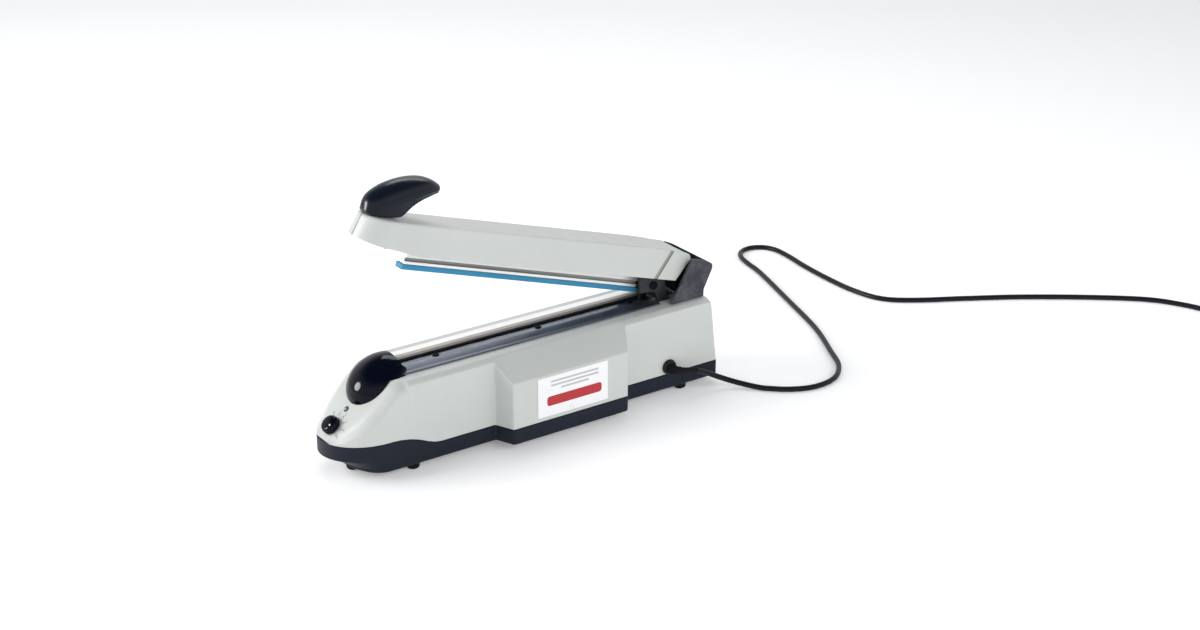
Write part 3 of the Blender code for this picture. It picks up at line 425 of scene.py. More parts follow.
def panel_point(up, out=0.0, across=0.0):
    """A place on the control slope: up the slope, out from its face, and across it from the centre."""
    x = PANEL_LOW[0] + up * cos(PANEL_ANGLE) - out * sin(PANEL_ANGLE)
    z = PANEL_LOW[1] + up * sin(PANEL_ANGLE) + out * cos(PANEL_ANGLE)
    return Vector((x, CENTRE_Y + across, z))


def on_panel(bm, up):
    return move(bm, shift(panel_point(up)) @ Matrix.Rotation(-PANEL_ANGLE, 4, "Y"))


def on_arm(obj):
    """Raises a piece drawn on the closed arm to the open rest, and lets it ride."""
    raise_arm = shift(PIVOT * MM) @ Matrix.Rotation(OPEN_ANGLE, 4, "Y")
    obj.data.transform(raise_arm)
    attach(obj, "arm")
    return obj


def base(obj, *nodes):
    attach(obj, "base")
    if nodes:
        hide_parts(*nodes)
    return obj


# ---- shared base outlines

def seam_z(x):
    """Height of the line between the skirt and the shell."""
    return table(x, [(-400.0, 40.0), (-172.0, 39.8), (-164.0, 39.2), (-153.6, 37.4), (-142.0, 33.6),
                     (-131.0, 28.6), (-123.0, 26.0), (-116.0, SEAM_Z), (400.0, SEAM_Z)])


def half_width(x):
    """Half width of the shell; the nose is half an ellipse."""
    if x >= NOSE_START:
        return HALF_WIDTH
    t = (NOSE_START - x) / NOSE_LENGTH
    return HALF_WIDTH * sqrt(max(0.0, 1.0 - t * t))


def base_outline(nose, inset):
    """Plan of the base as a closed loop: the near side from nose to rear, then back on the far side."""
    near = []
    for k in range(1, 25):
        a = pi / 2 * k / 24
        near.append((NOSE_START - (nose - inset) * cos(a), (HALF_WIDTH - inset) * sin(a)))
    stations = [-172 + 4 * k for k in range(15)] + [-100, -80, -62]
    near += [(x, HALF_WIDTH - inset) for x in stations]
    side = list(near)
    corner = inset * 0.7
    swell = rounded([(BULGE_X[0] - 16, 0), (BULGE_X[0] + corner, 0), (BULGE_FACE_X[0] + corner, BULGE_DEPTH),
                     (BULGE_FACE_X[1] - corner, BULGE_DEPTH), (BULGE_X[1] - corner, 0),
                     (BULGE_X[1] + 13, 0)], 2.2)
    near += [(x, HALF_WIDTH - inset + out) for x, out in swell[1:-1]]
    far_stations = [*BULGE_X[:1], BULGE_FACE_X[0], 0.0, 50.0, *BULGE_FACE_X[1:], BULGE_X[1]]
    side += [(x, HALF_WIDTH - inset) for x in far_stations]
    turn = REAR_CORNER - inset
    corner = [(REAR_X - REAR_CORNER + turn * sin(a), HALF_WIDTH - REAR_CORNER + turn * cos(a))
              for a in [pi / 2 * k / 6 for k in range(7)]]
    near += [(150.0, HALF_WIDTH - inset), *corner]
    side += [(150.0, HALF_WIDTH - inset), *corner]
    tip = (NOSE_START - nose + inset, 0.0)
    loop = [tip] + near + list(reversed(side))
    flip = len(near)
    return [(x, CENTRE_Y - y if k <= flip else CENTRE_Y + y) for k, (x, y) in enumerate(loop)]


def build_skirt(mats):
    """Dark skirt: rounded foot line, prow under the nose, and a wavy upper edge with a thin return."""
    full = base_outline(NOSE_LENGTH, 0.0)
    rings = []
    for inset, z in ((2.2, 8.0), (1.0, 8.35), (0.3, 9.2), (0.0, 10.4)):
        rings.append([(*p, z) for p in base_outline(29.0 + (z - 8.0) * 0.9, inset)])
    for k in range(1, 9):
        t = k / 8
        bow = 29.0 + 24.0 * t ** 1.2
        rings.append([(*p, lerp(10.4, 24.0, t)) for p in base_outline(bow, 0.0)])
    for t in (0.3, 0.6, 0.9):
        rings.append([(x, y, lerp(24.0, seam_z(x) - 0.5, t)) for x, y in full])
    for inset, drop in ((0.0, 0.6), (0.25, 0.2), (0.8, 0.0), (3.5, 0.0)):
        edge = base_outline(NOSE_LENGTH, inset)
        rings.append([(x, y, max(24.1, seam_z(fx) - drop)) for (x, y), (fx, _) in zip(edge, full)])
    skirt = finish_mesh("skirt", loft(rings, caps=(True, False)), mats["navy"])
    weighted(skirt)
    base(skirt, "base_tray")
    for name, x, across in (("nose", -195.0, 0.0), ("front_near", -145.0, -33.0), ("front_far", -145.0, 33.0),
                            ("rear_near", 187.0, -33.0), ("rear_far", 187.0, 33.0)):
        profile = rounded([(0.0, 0.0), (5.2, 0.0), (6.6, 1.6), (7.0, 8.6)], 1.2) + [(0.0, 8.6)]
        foot = move(turned(profile, 40), shift((x, CENTRE_Y + across, 0.0)))
        base(finish_mesh("rubber_foot_" + name, foot, mats["rubber"]), "foot_" + name)


def weighted(obj):
    mod = obj.modifiers.new("face_weighting", "WEIGHTED_NORMAL")
    mod.keep_sharp = True
    return obj


def applied(obj):
    """Bakes an object's modifiers into its mesh."""
    baked = evaluated_mesh(obj)
    obj.modifiers.clear()
    obj.data = baked
    return obj


def roof_z(x):
    """Top of the shell along its length: the control slope, the flat deck, and a round edge at the rear."""
    slope = PANEL_LOW[1] + (x - PANEL_LOW[0]) * tan(PANEL_ANGLE)
    k = 5.0
    h = max(0.0, min(1.0, 0.5 + 0.5 * (DECK_Z - slope) / k))
    top = DECK_Z + (slope - DECK_Z) * h - k * h * (1.0 - h)
    back = max(0.0, x - (REAR_X - 4.0))
    return top - (4.0 - sqrt(max(0.0, 16.0 - back * back)))


def shell_section(x, swell):
    """Half outline of the shell from its lower edge to the centre line, as (distance from centre, height)."""
    w = half_width(x)
    rear = max(0.0, x - (REAR_X - REAR_CORNER))
    w -= REAR_CORNER - sqrt(max(0.0, REAR_CORNER ** 2 - rear * rear))
    top, low = roof_z(x), seam_z(x) + 0.35
    high = top - low
    soft = 1.0 - smooth_step((x + 156.0) / 5.0)            # the nose has a rounder, wider shoulder
    drop = min(lerp(4.0, 9.0, soft), high * 0.55)
    reach = min(lerp(6.0, 9.5, soft), w * 0.55)
    w -= 0.45 * smooth_step((x + 152.6) / 0.8)             # small step behind the nose
    corner = (w + BULGE_DEPTH * swell, lerp(top - drop, BULGE_EDGE_Z, swell))
    ridge = (w - reach, top - min(0.5, high * 0.1))
    points = [(w + BULGE_DEPTH * swell, low), corner, ridge, (0.0, top)]
    radius = [min(lerp(1.7, 7.0, soft), high * 0.3), min(lerp(2.2, 7.0, soft), high * 0.4)]
    out = [points[0], (points[0][0], lerp(low, corner[1], 0.5))]
    for k in (1, 2):
        out += corner_points(points[k - 1], points[k], points[k + 1], radius[k - 1],
                             (0.0, 0.17, 0.33, 0.5, 0.67, 0.83, 1.0))
    out.append((ridge[0] * 0.55, top))
    return out


def build_shell(mats):
    """Grey cover: one skin over stations from the nose to the rear, closer together where it curves."""
    stations = [-226.6, -226.0, -225.0, -223.5, -221.5, -219, -216, -212.5, -208.5, -204, -199, -194, -189,
                -184, -180, -176, -173, *range(-170, -159, 2), -157, -155, -153.4, -152.8, -152.5, -152.2,
                -151.9, -151.2, *range(-148, -115, 4), -105, -85, -66]
    swell = rounded([(BULGE_X[0] - 12, 0), (BULGE_X[0], 0), (BULGE_FACE_X[0], BULGE_DEPTH),
                     (BULGE_FACE_X[1], BULGE_DEPTH), (BULGE_X[1], 0), (BULGE_X[1] + 13, 0)], 2.0)[1:-1]
    stations += [x for x, _ in swell]
    stations += [60.0, 20.0, -10.0, 118.0, 130.0, 145.0, 170.0, 190.0, 205.0, 215.0, 221.0]
    stations += [REAR_X - REAR_CORNER + REAR_CORNER * sin(pi / 2 * k / 6) for k in range(7)]
    rings = []
    for x in sorted(stations):
        amount = table(x, [(-400, 0.0), *[(sx, out / BULGE_DEPTH) for sx, out in swell], (400, 0.0)])
        near, far = shell_section(x, amount), shell_section(x, 0.0)
        flat = [(-p[0], p[1]) for p in near] + [(0.0, near[-1][1])] + [(p[0], p[1]) for p in reversed(far)]
        lean = REAR_LEAN * smooth_step((x - 180.0) / (REAR_X - 180.0))
        rings.append([(x - lean * (z - SEAM_Z) / (DECK_Z - SEAM_Z), CENTRE_Y + y, z) for y, z in flat])
    shell = finish_mesh("shell", loft(rings, closed=False, caps=(False, True)), mats["grey"])
    thicken(shell, SHELL_WALL)
    cut(shell, box((181.0, CENTRE_Y - 9.0, 90.0), (199.0, CENTRE_Y + 9.0, 110.0)))
    cut(shell, rod_hole(DECK_Z))
    weighted(shell)
    base(shell, "body_shell")


def thicken(obj, wall):
    """Gives an open cover a wall on its inner side."""
    faces_up = sum(p.normal.z * p.area for p in obj.data.polygons) > 0
    mod = obj.modifiers.new("wall", "SOLIDIFY")
    mod.thickness, mod.offset = wall * MM, -1.0 if faces_up else 1.0
    applied(obj)


def rod_hole(z):
    """Cutter for the hole of the switch rod."""
    bore = turned([(0.0, -10.0), (ROD_HOLE_RADIUS, -10.0), (ROD_HOLE_RADIUS, 10.0), (0.0, 10.0)], 24)
    return move(bore, shift((ROD_X, ROD_Y, z)))


def build_dome(mats):
    """Glossy front cover with a thin wall, pitched down to the nose and cut square at the rail end."""
    sides, rows = 96, 40

    def skin(inset):
        profile = [(sin(pi * k / rows), -cos(pi * k / rows)) for k in range(rows + 1)]
        profile[0], profile[-1] = (0.0, -1.0), (0.0, 1.0)
        bm = turned(profile, sides)
        bmesh.ops.scale(bm, vec=[r - inset for r in DOME_RADII], verts=bm.verts)
        return move(bm, shift(DOME_CENTRE) @ Matrix.Rotation(-DOME_PITCH, 4, "Y"))

    dome = finish_mesh("front_cover", skin(0.0), mats["gloss"])
    slope_x = PANEL_LOW[0] + (DECK_CUT_Z - PANEL_LOW[1]) / tan(PANEL_ANGLE)
    keep = [(-250.0, 17.5), (-250.0, 130.0), (-151.5, 130.0), (-150.5, 123.0), (-146.6, 111.0),
            (-145.8, 106.6), (-142.6, 104.6), (-142.0, DECK_CUT_Z), (slope_x, DECK_CUT_Z)]
    cut(dome, prism(keep, "Y", -60.0, 80.0), "INTERSECT")
    cut(dome, skin(SHELL_WALL))
    cut(dome, rail_clearance())
    base(weighted(dome), "front_dome")


def rail_clearance():
    """Cutter that leaves the dome clear of the rail and the strip on it."""
    half = [(27.0, 90.0), (27.0, 101.3), (17.0, 104.1), (6.8, 104.1), (6.8, 107.2)]
    outline = [(CENTRE_Y - y, z) for y, z in half] + [(CENTRE_Y + y, z) for y, z in reversed(half)]
    return prism(outline, "X", -150.0, -130.0)


def build_rail(mats):
    """Aluminium rail with a turned foot flange, the black insulator, the hot ribbon and the release cloth."""
    half = [(26.5, 99.3), (26.5, 100.6), (23.6, 100.9), (22.4, 101.3), (17.4, 103.45), (15.8, 103.6),
            (5.0, 103.6)]
    inner = [(15.2, 102.0), (21.6, 99.7), (22.2, 99.3)]
    outline = [(CENTRE_Y + y, z) for y, z in half] + [(CENTRE_Y - y, z) for y, z in reversed(half)]
    outline += [(CENTRE_Y - y, z) for y, z in reversed(inner)] + [(CENTRE_Y + y, z) for y, z in inner]
    rail = finish_mesh("sealing_rail", prism(outline, "X", -158.0, 165.0), mats["rail"], 0.25, 20.0)
    rail.data.materials.append(mats["channel"])
    rail.data.materials.append(mats["rail_slope_painted_shade"])
    rail.data.materials.append(mats["rail_flange_painted_shade"])
    # Faces by side: the far side takes the pale channel material as painted light, the near flat and near
    # slope take the darker rail copies as painted shade, and the middle keeps the plain aluminium.
    for face in rail.data.polygons:
        across = face.center.y / MM - CENTRE_Y
        face.material_index = 1 if across > 4.0 else 2 if across < -16.2 else 3 if across < -6.0 else 0
    cut(rail, rod_hole(100.0))
    base(rail, "seal_rail")
    for k, x in enumerate((-102.0, 20.0, 136.0), 1):
        profile = rounded([(0.0, 103.7), (3.6, 103.7), (3.6, 104.7), (2.2, 105.25), (2.0, 104.6)], 0.35)
        head = move(turned(profile + [(0.0, 104.6)], 36), shift((x, CENTRE_Y - 11.0, 0.0)))
        screw = finish_mesh(f"rail_screw_head_{k}", head, mats["screw"])
        cut(screw, box((x - 2.6, CENTRE_Y - 11.4, 104.3), (x + 2.6, CENTRE_Y - 10.6, 106.0)))
        base(screw, f"rail_screw_{k}")
    build_hot_strip(mats)


def build_hot_strip(mats):
    """Insulator, ribbon, release cloth with painted shade on its near flank, and the two clamps."""
    strip = box((-150.0, CENTRE_Y - 6.4, 103.8), (161.5, CENTRE_Y + 6.4, 105.3))
    base(finish_mesh("insulating_strip", strip, mats["phenolic"], 0.15), "element_insulator")
    ribbon = box((-147.5, CENTRE_Y - 1.6, 105.35), (161.5, CENTRE_Y + 1.6, 105.6))
    base(finish_mesh("hot_ribbon", ribbon, mats["nichrome"], 0.06), "heating_element")
    rows = []
    count = 150
    for k in range(count + 1):
        x = lerp(-141.5, 158.5, k / count)
        ripple = 0.10 * noise.noise(Vector((x * 0.09, 1.3, 0.0)))
        ripple += 0.05 * noise.noise(Vector((x * 0.4, 7.0, 0.0)))
        edge = 0.12 * noise.noise(Vector((x * 0.15, 4.0, 2.0)))
        rows.append([(x, CENTRE_Y + y, z) for y, z in (
            (-4.5 + edge, 105.8), (-4.6 + edge, 106.05), (-4.2, 106.2 + ripple), (-2.6, 106.35 + ripple),
            (-0.6, 106.6), (1.7, 106.62), (2.6, 106.35 - ripple), (5.4, 106.2 - ripple), (6.2, 106.05),
            (6.15, 105.8))])
    sheet = finish_mesh("release_cloth_strip", loft(rows), mats["cloth"])
    sheet.data.materials.append(mats["cloth_flank_shade"])
    # The near flank takes the darker cloth copy: painted shade where the cloth turns down.
    for face in sheet.data.polygons:
        face.material_index = 1 if face.center.y / MM - CENTRE_Y < -0.7 else 0
    base(weighted(sheet), "release_cloth")
    for tag, x, span in (("front", -149.5, 5.5), ("rear", 159.1, 2.2)):
        clamp = box((x, CENTRE_Y - 4.0, 105.9), (x + span, CENTRE_Y + 4.0, 106.8))
        base(finish_mesh(f"ribbon_clamp_{tag}", clamp, mats["brass"], 0.3), f"element_clamp_{tag}")


def build_control(mats):
    """Timer knob with its pointer and dial marks, and the status light."""
    profile = rounded([(0.0, 0.9), (9.6, 0.9), (9.9, 2.0), (9.4, 6.4), (8.0, 8.6), (4.5, 9.4), (0.0, 9.6)],
                      1.1)
    knob = finish_mesh("knob_cap", on_panel(turned(profile, 72), KNOB_UP), mats["gloss"])
    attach(weighted(knob), "knob")
    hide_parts("timer_knob")
    pointer = radians(-96.0)
    dot = turned([(0.0, 8.3), (0.95, 8.3), (0.95, 9.25), (0.7, 9.42), (0.0, 9.45)], 20)
    move(dot, shift((6.2 * cos(pointer), 6.2 * sin(pointer), 0.0)))
    mark = finish_mesh("knob_pointer", on_panel(dot, KNOB_UP), mats["label"])
    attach(mark, "knob")
    for k, degrees in enumerate((48, 16, -16, -48, -80, -112)):
        dial_mark(k, radians(degrees), mats["print_red" if k == 5 else "print_dark"])
    lens = turned([(0.0, -4.0), (2.4, -4.0), (2.4, 0.5), (2.1, 1.3), (1.3, 1.9), (0.0, 2.1)], 36)
    led = finish_mesh("light_lens", on_panel(lens, LIGHT_UP), mats["led"])
    base(weighted(led), "status_led")
    bezel = turned([(2.5, -0.5), (3.1, -0.5), (3.1, 0.3), (2.5, 0.3)], 36)
    base(finish_mesh("light_bezel", on_panel(bezel, LIGHT_UP), mats["screw"]))


def dial_mark(k, angle, mat):
    """One dot of the dial and the number beyond it, turned to read from the nose."""
    dot_radius, number_radius, print_height = 14.2, 17.4, 0.08
    dot = turned([(0.0, 0.02), (0.75, 0.02), (0.72, 0.12), (0.0, 0.14)], 20)
    move(dot, shift((dot_radius * cos(angle), dot_radius * sin(angle), 0.0)))
    base(finish_mesh(f"dial_dot_{k}", on_panel(dot, KNOB_UP), mat))
    text = bpy.data.curves.new(f"dial_number_{k}", "FONT")
    text.body, text.size = str(k), 3.2 * MM
    text.extrude = 0.04 * MM
    text.align_x, text.align_y = "CENTER", "CENTER"
    number = linked(f"dial_number_{k}", text)
    text.materials.append(mat)
    mesh = evaluated_mesh(number)
    up, across = KNOB_UP + number_radius * cos(angle), number_radius * sin(angle)
    place = shift(panel_point(up, print_height, across) * MM)
    turn = Matrix.Rotation(-PANEL_ANGLE, 4, "Y") @ Matrix.Rotation(-pi / 2, 4, "Z")
    mesh.transform(place @ turn)
    bpy.data.objects.remove(number, do_unlink=True)
    base(linked(f"dial_number_{k}", mesh))


def build_hinge(mats):
    """Bracket with two cheeks, the pivot pin, the bracket's bolts, the rear guard and the rubber stop."""
    foot = box((167.0, CENTRE_Y - 20.0, GUARD_LOW_Z), (181.0, CENTRE_Y + 20.0, GUARD_LOW_Z + 3.0))
    bracket = finish_mesh("hinge_frame", foot, mats["matte"], 0.45)
    cheek = rounded_loop([(167.0, 99.5), (180.5, 99.5), (176.0, 118.0), (171.0, 132.5), (142.0, 132.5),
                          (142.5, 114.8), (162.0, 112.8)], [0.3, 0.3, 4, 3, 1.6, 1.6, 5])
    for side in (-1, 1):
        y = sorted((CENTRE_Y + side * 17.0, CENTRE_Y + side * 20.0))
        cut(bracket, prism(cheek, "Y", *y), "UNION")
    base(bracket, "hinge_bracket")
    head = [(0.0, PIN_END + 1.7), (3.2, PIN_END + 1.7), (4.5, PIN_END + 0.9), (4.6, PIN_END), (3.0, PIN_END)]
    pin = turned([(r, -z) for r, z in head] + head[::-1], 40)
    move(pin, shift(PIVOT) @ Matrix.Rotation(pi / 2, 4, "X"))
    base(weighted(finish_mesh("pivot_pin", pin, mats["screw"])), "hinge_pin")
    for k, side in enumerate((-1, 1), 1):
        profile = rounded([(0.0, 102.6), (2.6, 102.6), (2.6, 103.7), (1.4, 104.2)], 0.3) + [(0.0, 104.2)]
        bolt = turned(profile, 32)
        move(bolt, shift((172.0, CENTRE_Y + side * 13.0, 0.0)))
        base(finish_mesh(f"bracket_bolt_{k}", bolt, mats["steel"]), f"bracket_screw_{k}")

    low = GUARD_LOW_Z
    plate = rounded_loop([(174.0, low), (201.0, 144.6), (215.5, 140.8), (227.2, 134.4), (228.0, 129.6),
                          (216.5, 107.1), (216.3, low)], [0.4, 2.5, 6, 3, 3, 2, 0.4])
    block = prism(plate, "Y", CENTRE_Y - 34.0, CENTRE_Y + 34.0)
    guard = finish_mesh("hinge_guard", block, mats["guard"], 0.8, 25.0, 3)
    inner = [(150.0, low - 5.0), (150.0, 160.0), (224.0, 160.0), (224.8, 130.2), (213.4, 108.0),
             (213.4, low - 5.0)]
    cut(guard, prism(inner, "Y", CENTRE_Y - 31.0, CENTRE_Y + 31.0))
    base(guard, "rear_guard")
    buffer = box((198.5, CENTRE_Y - 9.0, low), (206.5, CENTRE_Y + 9.0, low + 2.4))
    base(finish_mesh("rubber_stop", buffer, mats["rubber"], 0.5), "stop_buffer")


# ---- arm

def arm_lower(s):
    """Height of the cover's lower edge at a distance from the hinge."""
    return table(s, [(-23.0, 9.3), (79.0, 8.3), (156.0, 7.0), (206.0, 6.5), (302.0, 6.5), (314.0, 7.8),
                     (326.0, 10.0), (349.0, 12.2), (361.0, 14.0), (370.0, 15.6), (390.0, 18.0)])


def arm_top(s):
    """Height of the cover's top at a distance from the hinge."""
    return table(s, [(-30.0, 39.6), (8.0, 41.6), (88.0, 40.5), (190.0, 39.0), (274.0, 38.0), (400.0, 37.2)])


def arm_half(h):
    """Half width of the cover at a height; it widens towards the rail."""
    return 23.0 + 4.0 * (40.0 - h) / 33.0


def arm_point(station, h, inset):
    """Near-side point of the cover, as distances from the hinge and from the centre."""
    kind, value = station
    if kind == "angle":
        reach = ARM_NOSE_REACH + (40.0 - h) * ARM_NOSE_TAPER
        return ARM_NOSE_START + (reach - inset) * cos(value), (arm_half(h) - inset) * sin(value)
    if kind == "rear":
        slant = [(9.2, -22.3), (33.5, -37.2), (36.5, -37.6), (39.0, -34.0), (40.3, -27.0)]
        return table(h, slant), arm_half(h) - inset
    return value, arm_half(h) - inset


def arm_ring(station):
    """One section of the cover: up the near side, over its soft edge, across, and down the far side."""
    kind, value = station
    s_ref = {"s": value, "rear": -23.0, "angle": ARM_NOSE_START + 29.0 * cos(value)}[kind]
    low = arm_lower(s_ref)
    top = 40.3 if kind == "rear" else arm_top(min(s_ref, 372.0))
    half = []
    for k in range(9):
        h = lerp(low, top - ARM_EDGE, k / 8)
        s, y = arm_point(station, h, 0.0)
        half.append((-s, y, h))
    for k in range(1, 6):
        a = pi / 2 * k / 5
        h = top - ARM_EDGE + ARM_EDGE * sin(a)
        s, y = arm_point(station, h, ARM_EDGE - ARM_EDGE * cos(a))
        half.append((-s, max(0.0, y), h))
    crown = arm_point(station, top, 9.0)
    half.append((-crown[0], max(0.0, crown[1]), top))
    return [(x, -y, h) for x, y, h in half] + [(half[-1][0], 0.0, half[-1][2])] + half[::-1]


def build_arm_shell(mats):
    """Grey arm cover with a round nose and a slanting groove on each side at the rear."""
    stations = [("rear", 0.0)]
    stations += [("s", s) for s in (-18, -8, 0, 20, 60, 100, 150, 200, 250, 290, 300, 306, 312, 318, 324, 330,
                                    335)]
    stations += [("angle", pi / 2 * (1 - k / 26)) for k in range(27)]
    rings = [arm_ring(station) for station in stations]
    shell = finish_mesh("arm_cover", loft(rings, closed=False, caps=(False, False)), mats["grey"])
    thicken(shell, ARM_WALL)
    groove = [(-16.0, 45.0), (-11.0, 45.0), (9.6, 5.0), (4.6, 5.0)]
    for side in (-1, 1):
        tool = loft([[(-s, side * (arm_half(h) - 1.3), h) for s, h in groove],
                     [(-s, side * (arm_half(h) + 5.0), h) for s, h in groove]])
        cut(shell, tool, mat=mats["groove"])
    on_arm(weighted(shell))
    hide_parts("arm_shell")


def build_handle(mats):
    """Duck-bill handle: a smooth bill over a narrower neck, with a crease where they meet."""
    sections = [  # distance from the hinge, lower height, crease height, upper height, half width, neck share
        (362.1, 41.5, 46.0, 49.5, 2.4, 1.00), (361.2, 39.2, 45.5, 52.5, 6.0, 1.00),
        (359.4, 38.0, 45.5, 55.8, 9.0, 1.00), (356.1, 37.4, 46.0, 59.6, 11.8, 1.00),
        (351.9, 37.3, 47.2, 63.0, 13.9, 1.00), (346.1, 37.3, 48.8, 67.2, 15.7, 0.99),
        (340.3, 37.4, 50.6, 70.6, 16.6, 0.96), (333.6, 37.5, 53.0, 73.6, 17.1, 0.92),
        (329.0, 37.6, 55.2, 75.6, 17.3, 0.89), (324.5, 37.9, 57.0, 77.0, 17.3, 0.87),
        (319.5, 44.0, 59.2, 78.4, 17.1, 0.85), (314.9, 50.0, 61.2, 79.4, 16.7, 0.83),
        (309.0, 55.0, 63.6, 80.3, 16.0, 0.82), (302.9, 59.2, 66.0, 80.5, 15.0, 0.80),
        (297.1, 62.0, 68.0, 79.9, 13.7, 0.82), (291.8, 64.8, 69.4, 78.6, 12.0, 0.82),
        (287.2, 66.4, 70.4, 76.9, 9.8, 0.86), (284.3, 67.6, 71.0, 75.3, 7.4, 0.92),
        (283.2, 68.8, 71.4, 73.8, 4.2, 1.00),
    ]
    rings = []
    for s, low, crease, high, w, neck in sections:
        half = []
        for k in range(9):
            a = pi / 2 * k / 8
            half.append((w * cos(a) ** 0.86, crease + (high - crease) * sin(a) ** 0.92))
        under = []
        for k in range(1, 9):
            t = k / 8
            pinch = lerp(1.0, neck, min(1.0, t * 1.8) ** 0.75)
            if low < 40.0:                              # the neck, which ends flat on the arm
                close = 1.0 if t < 1.0 else 0.0
            else:                                       # the bill, which is round below
                close = 1.0 if t < 0.78 else sqrt(max(0.0, 1.0 - ((t - 0.78) / 0.22) ** 2))
            under.append((w * pinch * close, lerp(crease, low, t)))
        near = [(y, h) for y, h in reversed(under)] + half
        loop = near + [(-y, h) for y, h in reversed(near[1:-1])]
        rings.append([(-s, y, h) for y, h in loop])
    bm = loft(rings)
    bm.verts.ensure_lookup_table()
    sharp = bm.edges.layers.float.new("crease_edge")
    count = len(rings[0])
    for k, section in enumerate(sections[:-1]):
        for side in (8, count - 8):                     # the crease vertex on either side of each ring
            edge = bm.edges.get((bm.verts[k * count + side], bm.verts[(k + 1) * count + side]))
            edge[sharp] = 0.9 * smooth_step((345.0 - section[0]) / 25.0)
    handle = finish_mesh("duck_bill_handle", bm, mats["satin"], smooth_angle=70.0)
    smooth = handle.modifiers.new("skin", "SUBSURF")
    smooth.levels = smooth.render_levels = 2
    on_arm(handle)
    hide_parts("arm_handle")


def build_jaw(mats):
    """Pad channel with a groove along each side, and the silicone pad below it."""
    low, high = -7.2, 7.6
    half, floor = 7.4, 5.0
    groove = [(-half, low + 0.3), (-half, low + 3.2), (-floor, low + 3.6), (-floor, low + 6.6),
              (-half, low + 7.0), (-half, high)]
    section = groove + [(-y, z) for y, z in reversed(groove)]
    channel = finish_mesh("pad_extrusion", prism(section, "X", -304.6, -12.0), mats["channel"], 0.25, 25.0)
    channel.data.materials.append(mats["slot"])
    for face in channel.data.polygons:
        inside = abs(face.center.y) < (floor + 2.0) * MM and abs(face.normal.x) < 0.5
        if inside and (low + 1.0) * MM < face.center.z < (low + 8.0) * MM:
            face.material_index = 1
    on_arm(channel)
    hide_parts("pad_channel")
    pad_low, pad_high, pad_half = -13.0, -7.5, 6.2
    rings = []
    count = 120
    for k in range(count + 1):
        x = lerp(-305.4, -1.5, k / count)
        soft = 0.10 * noise.noise(Vector((x * 0.05, 3.0, 1.0)))
        left, right = soft - pad_half, soft + pad_half
        corners = [(left, pad_low), (right, pad_low), (right, pad_high), (left, pad_high)]
        rings.append([(x, y, z) for y, z in rounded_loop(corners, 0.7, 3)])
    pad = finish_mesh("silicone_pad", loft(rings), mats["silicone"])
    on_arm(weighted(pad))
    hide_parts("silicone_strip")


def build_tail(mats):
    side = rounded_loop([(22.8, 9.2), (36.6, 32.0), (53.4, 30.6), (54.9, 28.2), (48.0, -1.2), (45.0, -3.8),
                         (30.0, -3.8)], [0.5, 0.5, 2.5, 2.5, 2, 2, 2])
    tail = finish_mesh("tail_end_cap", prism(side, "Y", -21.0, 21.0), mats["black"], 0.8, 25.0, 3)
    on_arm(tail)
    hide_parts("tail_cap")


# ---- label, lead, inner pieces

def build_label(mats):
    """A plain white plate with a generic ruled block and a red bar."""
    face = NEAR_Y - BULGE_DEPTH
    plate = box((-16.0, face - 0.15, 30.0), (70.0, face + 0.5, 73.5))
    base(finish_mesh("label_plate", plate, mats["label"], 0.12), "side_label")
    front = face - 0.15

    print_front, print_back = front - 0.12, front + 0.02
    for k, (start, end) in enumerate(((0.0, 58.0), (0.0, 58.0), (12.0, 46.0))):
        z = 66.5 - k * 4.4
        rule = box((start, print_front, z), (end, print_back, z + 2.0))
        base(finish_mesh(f"label_rule_{k}", rule, mats["print_grey"]))
    bar = rounded_loop([(-5.0, 41.0), (62.0, 41.0), (62.0, 51.5), (-5.0, 51.5)], 3.5, 6)
    base(finish_mesh("label_bar", prism(bar, "Y", print_front, print_back), mats["print_red"]))


COIL_CENTRE, COIL_TURNS = Vector((856.0, -226.0, 0.0)), 3
COIL_ENTRY, PLUG_HEADING = radians(200.0), radians(38.6)
COIL_IN_RADIUS, COIL_RADIUS, COIL_OUT_RADIUS = 36.0, 30.0, 33.0
PLUG_DISTANCE, PLUG_AXIS_Z = 48.0, 6.5


def cord_route():
    """Centre line of the lead from the boot to the coil; its radius above the floor."""
    lie = CORD_DIAMETER / 2
    return [
        (192.0, -45.5, 26.6), (205.0, -46.5, 21.0), (220.0, -49.5, 13.0), (236.0, -60.0, 6.5),
        (255.0, -82.0, lie), (277.0, -101.0, lie), (304.0, -111.0, lie), (334.0, -106.0, lie),
        (360.0, -83.0, lie), (378.0, -48.0, lie), (405.0, 10.0, lie), (432.0, 92.0, lie),
        (459.0, 178.0, lie), (465.0, 207.0, lie), (471.5, 231.0, lie), (482.5, 245.5, lie),
        (499.0, 250.0, lie), (514.5, 243.0, lie), (522.5, 227.0, lie), (521.5, 198.0, lie),
        (517.0, 165.0, lie), (514.0, 118.0, lie), (515.0, 70.0, lie), (526.0, 32.0, lie),
        (556.0, 6.0, lie), (605.0, -22.0, lie), (665.0, -58.0, lie), (730.0, -105.0, lie),
        (780.0, -148.0, lie), (802.0, -182.0, lie), (814.0, -213.0, lie),
    ]


